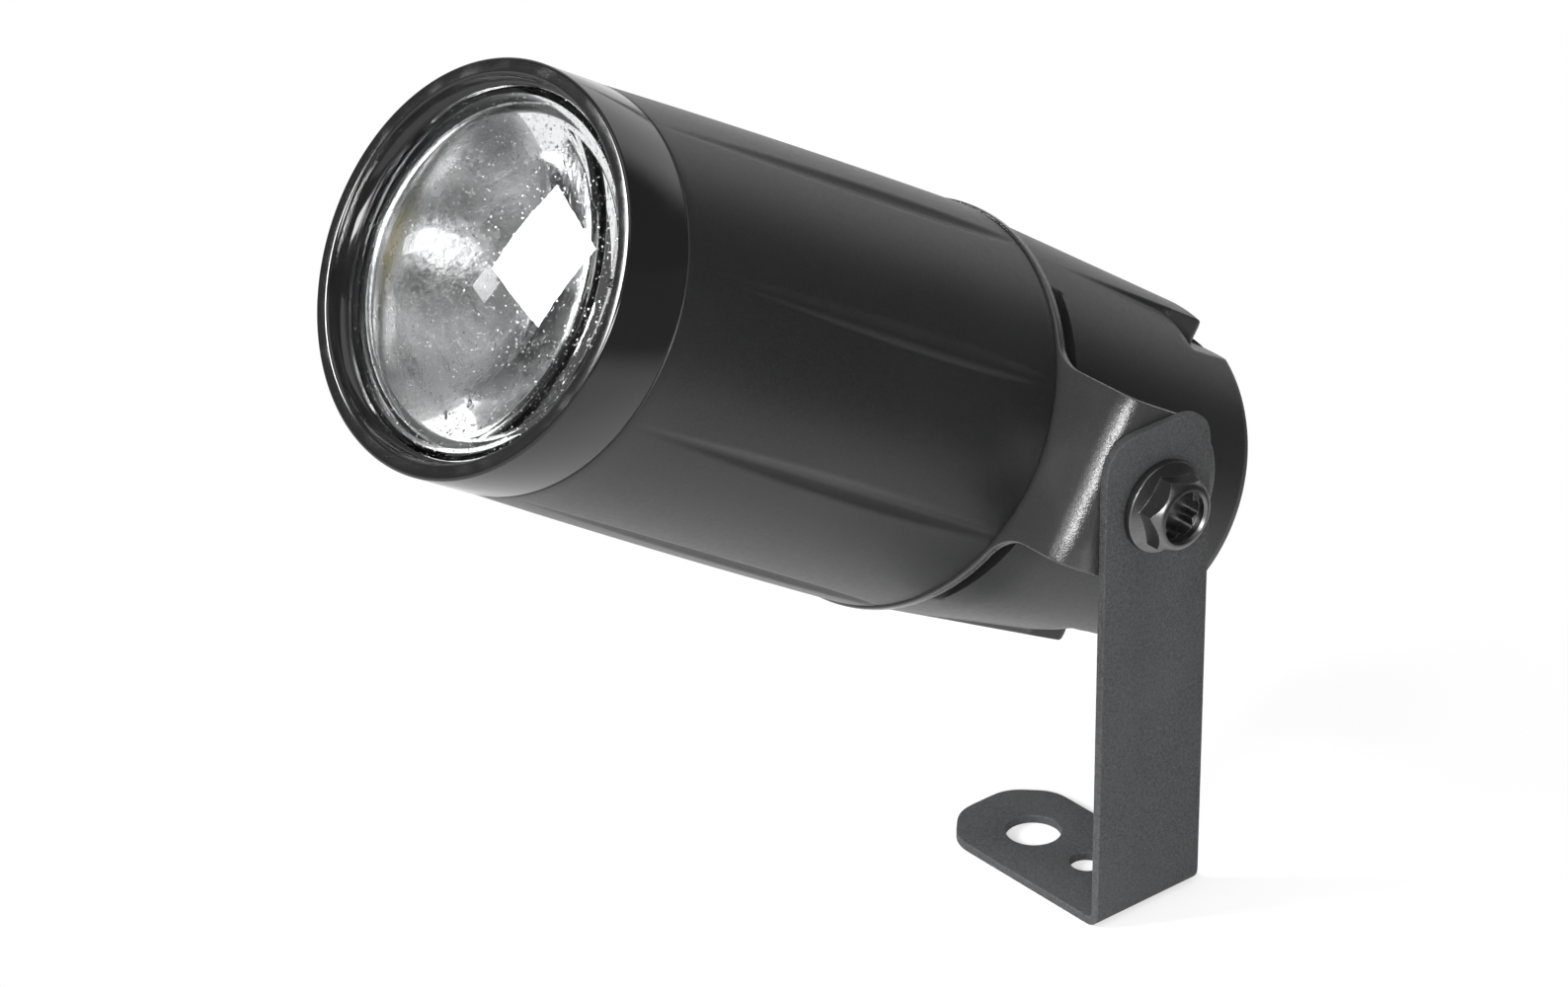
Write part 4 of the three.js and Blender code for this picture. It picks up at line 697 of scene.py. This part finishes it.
def reflector():
    """A thin parabolic bowl with a flange and a bright collar on its rim."""
    throat_radius, mouth_radius, throat, depth, wall = 9, 30.8, 70.05, 39.5, 1.2
    mouth = throat + depth
    flange_radius, flange = 33.4, 1.4
    collar_radius, collar_bore, collar_front = 30.25, 29.8, 122.1
    inner = []
    for i in range(25):
        share = (i / 24) ** 2
        spread = (mouth_radius ** 2 - throat_radius ** 2) * share
        inner.append((math.sqrt(throat_radius ** 2 + spread), throat + share * depth))
    outer = [(radius + wall, along) for radius, along in inner if along < mouth - 3]
    profile = [
        *outer, (mouth_radius + wall, mouth - flange),
        (flange_radius, mouth - flange), (flange_radius, mouth),
        (mouth_radius, mouth), (collar_radius, mouth + 0.55), (collar_radius, collar_front),
        (collar_bore, collar_front), (collar_bore, mouth + 0.45), *reversed(inner[:-1]),
    ]
    bm = ring_shape(profile, steps=192)
    finished(bm, "reflector_bowl", lamp_place, "reflector_coat", "head", ["reflector"], edge=0)


def baffle_ring():
    radius, bore, rear, front = 32.2, 30.3, 115.3, 122.3
    rear_edge, front_edge = 0.3, 0.4
    profile = [
        *arc((bore + rear_edge, rear + rear_edge), rear_edge, 180, 270, 4),
        (radius, rear), (radius, front),
        *arc((bore + front_edge, front - front_edge), front_edge, 90, 180, 4),
    ]
    bm = ring_shape(profile, steps=192)
    finished(bm, "baffle_ring_turned", lamp_place, "black_plastic", "head", ["baffle_ring"], edge=0)


# Sheet metal pieces, cut flat and then bent

SHEET = 1.8
FOLDS = 12


def flat_plate(outline, holes, folds):
    """A plate in the (length, width) plane with holes, cut into strips where it will bend."""
    bm = bmesh.new()
    loops = []
    for points in [outline, *holes]:
        verts = [bm.verts.new((x, y, 0)) for x, y in points]
        loops += [bm.edges.new(pair) for pair in zip(verts, verts[1:] + verts[:1])]
    bmesh.ops.triangle_fill(bm, edges=loops, use_beauty=True, use_dissolve=False)
    for place in folds:
        everything = [*bm.verts, *bm.edges, *bm.faces]
        bmesh.ops.bisect_plane(
            bm, geom=everything, plane_co=(place, 0, 0), plane_no=(1, 0, 0), dist=1e-5)
    bmesh.ops.recalc_face_normals(bm, faces=bm.faces)
    if sum(face.normal.z for face in bm.faces) > 0:
        bmesh.ops.reverse_faces(bm, faces=bm.faces)
    raised = bmesh.ops.extrude_face_region(bm, geom=bm.faces[:])
    tops = [v for v in raised["geom"] if isinstance(v, bmesh.types.BMVert)]
    bmesh.ops.translate(bm, verts=tops, vec=(0, 0, SHEET))
    bmesh.ops.recalc_face_normals(bm, faces=bm.faces)
    return bm


def round_off(bm, width, segments=3):
    """Softens the cut edges of a plate."""
    steep = math.radians(60)
    sharp = [e for e in bm.edges if len(e.link_faces) == 2 and e.calc_face_angle(0) > steep]
    bmesh.ops.bevel(
        bm, geom=sharp, offset=width, offset_type="OFFSET", affect="EDGES",
        segments=segments, profile=0.5, material=-1, clamp_overlap=True)


def circle_points(centre, radius, steps):
    return arc(centre, radius, 0, 360 - 360 / steps, steps - 1)


def soft_corner(corner, before, after, reach, steps=8):
    """Points that turn a corner on a parabola which starts and ends at reach from it."""
    corner, before, after = Vector(corner), Vector(before), Vector(after)
    start = corner + (before - corner).normalized() * reach
    end = corner + (after - corner).normalized() * reach
    points = []
    for i in range(steps + 1):
        t = i / steps
        points.append(tuple(start * (1 - t) ** 2 + corner * 2 * t * (1 - t) + end * t * t))
    return points


def bend_length(radius):
    """Length of flat sheet that a right-angled bend of this outer radius takes up."""
    return (radius - SHEET / 2) * math.pi / 2


def bent_plate(outline, holes, bend_start, bend_radius, edge, place):
    """A plate with softened edges, bent through a right angle.

    place takes a point's length before the bend, length after it, turn in the bend, width and depth
    to where the point lies on the bent sheet.
    """
    stretch = bend_length(bend_radius)
    bm = flat_plate(outline, holes, [bend_start + stretch * i / FOLDS for i in range(FOLDS + 1)])
    round_off(bm, edge)
    for vert in bm.verts:
        past = vert.co.x - bend_start
        turn = min(max(past, 0), stretch) / stretch * math.pi / 2
        vert.co = place(min(past, 0), max(0, past - stretch), turn, vert.co.y, vert.co.z)
    bmesh.ops.recalc_face_normals(bm, faces=bm.faces)
    return bm


def mounting_bracket():
    height, face, foot_length, width = 102.7, 23.4, 46.8, 26
    arm_corner, foot_corner, foot_softening = 8, 6.8, 3.5
    pivot_hole, large_hole, small_hole = 4.4, 5.4, 3.25
    pivot_height, large_inset, small_inset = 86.7, 32, 17
    bend_radius = 3
    bend_start = height - bend_radius
    foot_start = bend_start + bend_length(bend_radius) - bend_radius
    end, half = foot_start + foot_length, width / 2
    corners = [
        (0, -half, arm_corner), (0, half, arm_corner),
        (end - foot_corner, half, foot_softening), (end, half - foot_corner, foot_softening),
        (end, foot_corner - half, foot_softening), (end - foot_corner, -half, foot_softening),
    ]
    outline = []
    for i, (x, y, reach) in enumerate(corners):
        before, after = corners[i - 1], corners[(i + 1) % len(corners)]
        outline += soft_corner((x, y), before[:2], after[:2], reach)
    holes = [
        circle_points((height - pivot_height, 0), pivot_hole, 40),
        circle_points((foot_start + large_inset, 0), large_hole, 48),
        circle_points((foot_start + small_inset, 0), small_hole, 36),
    ]

    def place(straight, rest, turn, across, depth):
        radius = bend_radius - depth
        x = face - bend_radius + radius * math.cos(turn) - rest
        z = bend_radius - radius * math.sin(turn) - straight
        return Vector((x, across, z))

    bm = bent_plate(outline, holes, bend_start, bend_radius, 0.35, place)
    finished(bm, "mounting_bracket_bent", metres, "bracket_paint", "bracket", ["mounting_bracket"], edge=0)


def mounting_ring():
    """The ring between the housings, with its lug folded back along the bracket's arm."""
    radius, bore, front = 39.3, 20.5, 15.4
    half, fillet, lug_side, lug_hole = 16.4, 8, 53.2, 4.4
    bend_radius = 5
    bend_start = lug_side - bend_radius
    eye = bend_start + bend_length(bend_radius) + front - bend_radius
    reach = radius + fillet
    top_y, low_y = half + fillet, -half - fillet
    top_x = math.sqrt(reach ** 2 - (top_y + AXIS_DROP) ** 2)
    low_x = math.sqrt(reach ** 2 - (low_y + AXIS_DROP) ** 2)
    top_turn = math.degrees(math.atan2(top_y + AXIS_DROP, top_x))
    low_turn = math.degrees(math.atan2(low_y + AXIS_DROP, low_x))
    outline = [
        *arc((0, -AXIS_DROP), radius, top_turn, 360 + low_turn, 150),
        *arc((low_x, low_y), fillet, low_turn + 180, 90, 14)[1:],
        *arc((eye, 0), half, -90, 90, 40),
        *arc((top_x, top_y), fillet, 270, top_turn + 180, 14)[:-1],
    ]
    holes = [circle_points((0, -AXIS_DROP), bore, 90), circle_points((eye, 0), lug_hole, 40)]

    def place(straight, rest, turn, across, depth):
        bent = bend_radius - depth
        x = bend_start + straight + bent * math.sin(turn)
        z = front - bend_radius + bent * math.cos(turn) - rest
        return Vector((x, across, z))

    bm = bent_plate(outline, holes, bend_start, bend_radius, 0.3, place)
    finished(bm, "mounting_ring_bent", lug_place, "ring_paint", "head", ["mounting_ring"], edge=0)


# Fixings

def bolt_shank(seat):
    """The bolt's plain shank and the flange under its head."""
    radius, point_radius, length, point = 4, 3.1, 14, 0.9
    flange_radius, flange, flange_edge = 8.95, 1.8, 0.35
    cone_radius, cone_top = 6.5, 2.8
    rim = flange_radius - flange_edge
    profile = [
        (0, seat - length), (point_radius, seat - length), (radius, seat - length + point), (radius, seat),
        *arc((rim, seat + flange_edge), flange_edge, 270, 360, 4),
        *arc((rim, seat + flange - flange_edge), flange_edge, 0, 70, 4),
        (cone_radius, seat + cone_top), (0, seat + cone_top),
    ]
    return ring_shape(profile, 96, closed=False)


def bolt_head(low, top, flats):
    """The bolt's hexagon with its chamfered crown."""
    corner = flats / math.sqrt(3)
    crown = [
        (0, low), (corner + 0.2, low), (corner + 0.2, top - 2.1), (corner - 0.35, top - 1.6),
        (6.35, top - 0.4), (5.9, top - 0.05), (5.5, top), (0, top),
    ]
    hexagon = prism_shape(circle_points((0, 0), corner, 6), low + 0.2, top)
    return carved(hexagon, [ring_shape(crown, 96, closed=False)], "INTERSECT")


def bolt_recess(top):
    """What is cut from the head for its six-lobe recess: the lobed hole and its chamfered mouth."""
    radius, lobe_depth, lobes, lobe_turn = 4.8, 1.1, 6, math.radians(13.6)
    mouth_radius, chamfer_radius = 4.85, 5.3
    wall = []
    for i in range(96):
        turn = i * math.pi / 48
        ridge = ((1 - math.cos(lobes * (turn - lobe_turn))) / 2) ** 3
        reach = radius - lobe_depth * ridge
        wall.append((reach * math.cos(turn), reach * math.sin(turn)))
    mouth = [
        (0, top - 1.8), (mouth_radius, top - 1.8), (mouth_radius, top - 0.5),
        (chamfer_radius, top + 0.05), (chamfer_radius, top + 1.6), (0, top + 1.6),
    ]
    return [prism_shape(wall, top - 4.4, top + 4.6), ring_shape(mouth, 96, closed=False)]


def clamp_bolt():
    seat, flats, head_height, turn = 0.2, 13, 7.2, math.radians(46.4)
    top = seat + head_height
    head = carved(bolt_head(seat + 1, top, flats), bolt_recess(top))
    bolt = carved(bolt_shank(seat), [head], "UNION")
    bmesh.ops.rotate(bolt, verts=bolt.verts, matrix=Matrix.Rotation(turn, 3, "Z"))
    finished(
        laid_along_x(bolt), "clamp_bolt_turned", bolt_place, "dark_steel", "bolt", ["clamp_bolt"],
        edge=0.22, segments=3)


def refined(node, edge):
    """A merged copy of a CAD node with softened edges."""
    bm = bmesh.new()
    bm.from_mesh(frame["nodes"][node].data)
    bmesh.ops.remove_doubles(bm, verts=bm.verts, dist=1e-6)
    bmesh.ops.dissolve_limit(
        bm, angle_limit=math.radians(1), use_dissolve_boundaries=False, verts=bm.verts, edges=bm.edges)
    bodies = record["behaviour"]["bodies"]
    body = next(name for name, members in bodies.items() if node in members)
    finished(bm, node + "_softened", Matrix.Identity(4), slot_of[node], body, [node], edge=edge, angle=30)


front_housing()
rear_housing()
bezel_ring()
front_lens()
reflector()
baffle_ring()
mounting_bracket()
mounting_ring()
clamp_bolt()
refined("clamp_nut", edge=0.25)
refined("lock_washer", edge=0.15)
refined("rear_cover", edge=0.3)
refined("gland_body", edge=0.3)
refined("gland_nut", edge=0.35)
for i in range(1, 5):
    refined(f"housing_screw_{i}", edge=0.12)
for i in range(1, 4):
    refined(f"cover_screw_{i}", edge=0.1)
refined("earth_screw", edge=0.1)


# Floor, world and softboxes

FLOOR_SIZE = 3
LAMP_CENTRE = Vector((-0.03, -0.1, 0.15))
AWAY_FROM_CAMERA = (-0.766, 0.643, 0)
RIGHT_OF_CAMERA = (0.707, 0.707, 0)
ROOM_LIGHT, ROOM_REFLECTION = 0.34, 0.09


def floor_paint():
    """White where the camera looks, with the lamp's shadow close to it and a dim side in reflections."""
    shadow_end, white_start = 0.06, 0.14
    dim_start, dim_end = 0.08, 0.24
    f = new_finish("white_studio_floor")
    place = f.node("TexCoord", output="Object")
    reach = f.node("VectorMath", {"operation": "LENGTH"}, {0: place}, "Value")
    across = f.node("VectorMath", {"operation": "DOT_PRODUCT"}, {0: place, 1: RIGHT_OF_CAMERA}, "Value")
    plain = f.node("BsdfDiffuse", values={"Color": grey(0.8)})
    shadowed = f.node("BsdfDiffuse", values={"Color": grey(0.55)})
    lifted = f.node("Emission", values={"Color": grey(1.0), "Strength": 0.5})
    white = f.node("Emission", values={"Color": grey(1.0), "Strength": 1.0})
    dim = f.node("Emission", values={"Color": grey(1.0), "Strength": 0.14})
    near = f.node("AddShader", values={0: shadowed, 1: lifted})
    far = f.step(reach, shadow_end, white_start)
    seen = f.node("MixShader", values={0: far, 1: near, 2: white})
    dim_side = f.step(across, dim_start, dim_end) * f.rays("Glossy")
    seen = f.node("MixShader", values={0: dim_side, 1: seen, 2: dim})
    direct = f.rays("Camera", "Glossy", "Transmission")
    shader = f.node("MixShader", values={0: direct, 1: plain, 2: seen})
    f.node("OutputMaterial", values={"Surface": shader})
    return f.owner


def set_floor():
    bm = bmesh.new()
    bmesh.ops.create_grid(bm, x_segments=1, y_segments=1, size=FLOOR_SIZE)
    floor = as_object(bm, "floor")
    floor.data.materials.append(floor_paint())


def set_world():
    """A white backdrop for the camera and behind the lamp, in a dim room that gives even light."""
    world = bpy.data.worlds.new("studio")
    bpy.context.scene.world = world
    f = Finish(world)
    seen = f.rays("Camera")
    reflected = f.rays("Glossy", "Transmission")
    way = f.node("TexCoord", output="Generated")
    behind = f.node("VectorMath", {"operation": "DOT_PRODUCT"}, {0: way, 1: AWAY_FROM_CAMERA}, "Value")
    backdrop_edge, backdrop_full = 0.5, 0.75
    backdrop = f.step(behind, backdrop_edge, backdrop_full)
    backdrop = ROOM_REFLECTION + (1 - ROOM_REFLECTION) * backdrop
    around = ROOM_LIGHT * (1 - reflected) + backdrop * reflected
    strength = seen + around * (1 - seen)
    light = f.node("Background", values={"Color": grey(1.0), "Strength": strength})
    f.node("OutputWorld", values={"Surface": light})


def softbox(name, azimuth, elevation, distance, width, height, watts):
    """A rectangular softbox that faces the lamp, in a direction seen from it."""
    azimuth, elevation = math.radians(azimuth), math.radians(elevation)
    out = Vector((
        math.sin(azimuth) * math.cos(elevation),
        -math.cos(azimuth) * math.cos(elevation),
        math.sin(elevation),
    ))
    data = bpy.data.lights.new(name, "AREA")
    data.shape = "RECTANGLE"
    data.size = width
    data.size_y = height
    data.energy = watts
    light = bpy.data.objects.new(name, data)
    light.location = LAMP_CENTRE + out * distance
    light.rotation_euler = out.to_track_quat("Z", "Y").to_euler()
    bpy.context.scene.collection.objects.link(light)


bpy.context.scene.view_settings.view_transform = "Standard"
set_camera()
set_floor()
set_world()
softbox("lens_softbox", azimuth=-34.8, elevation=27.6, distance=1.2, width=0.34, height=0.34, watts=16)
softbox("top_softbox", azimuth=40, elevation=80, distance=1.6, width=1.4, height=1.4, watts=8)
softbox("front_softbox", azimuth=46, elevation=22, distance=1.4, width=0.9, height=0.35, watts=17.5)
softbox("fill_softbox", azimuth=8, elevation=23, distance=1.4, width=0.9, height=0.35, watts=4)
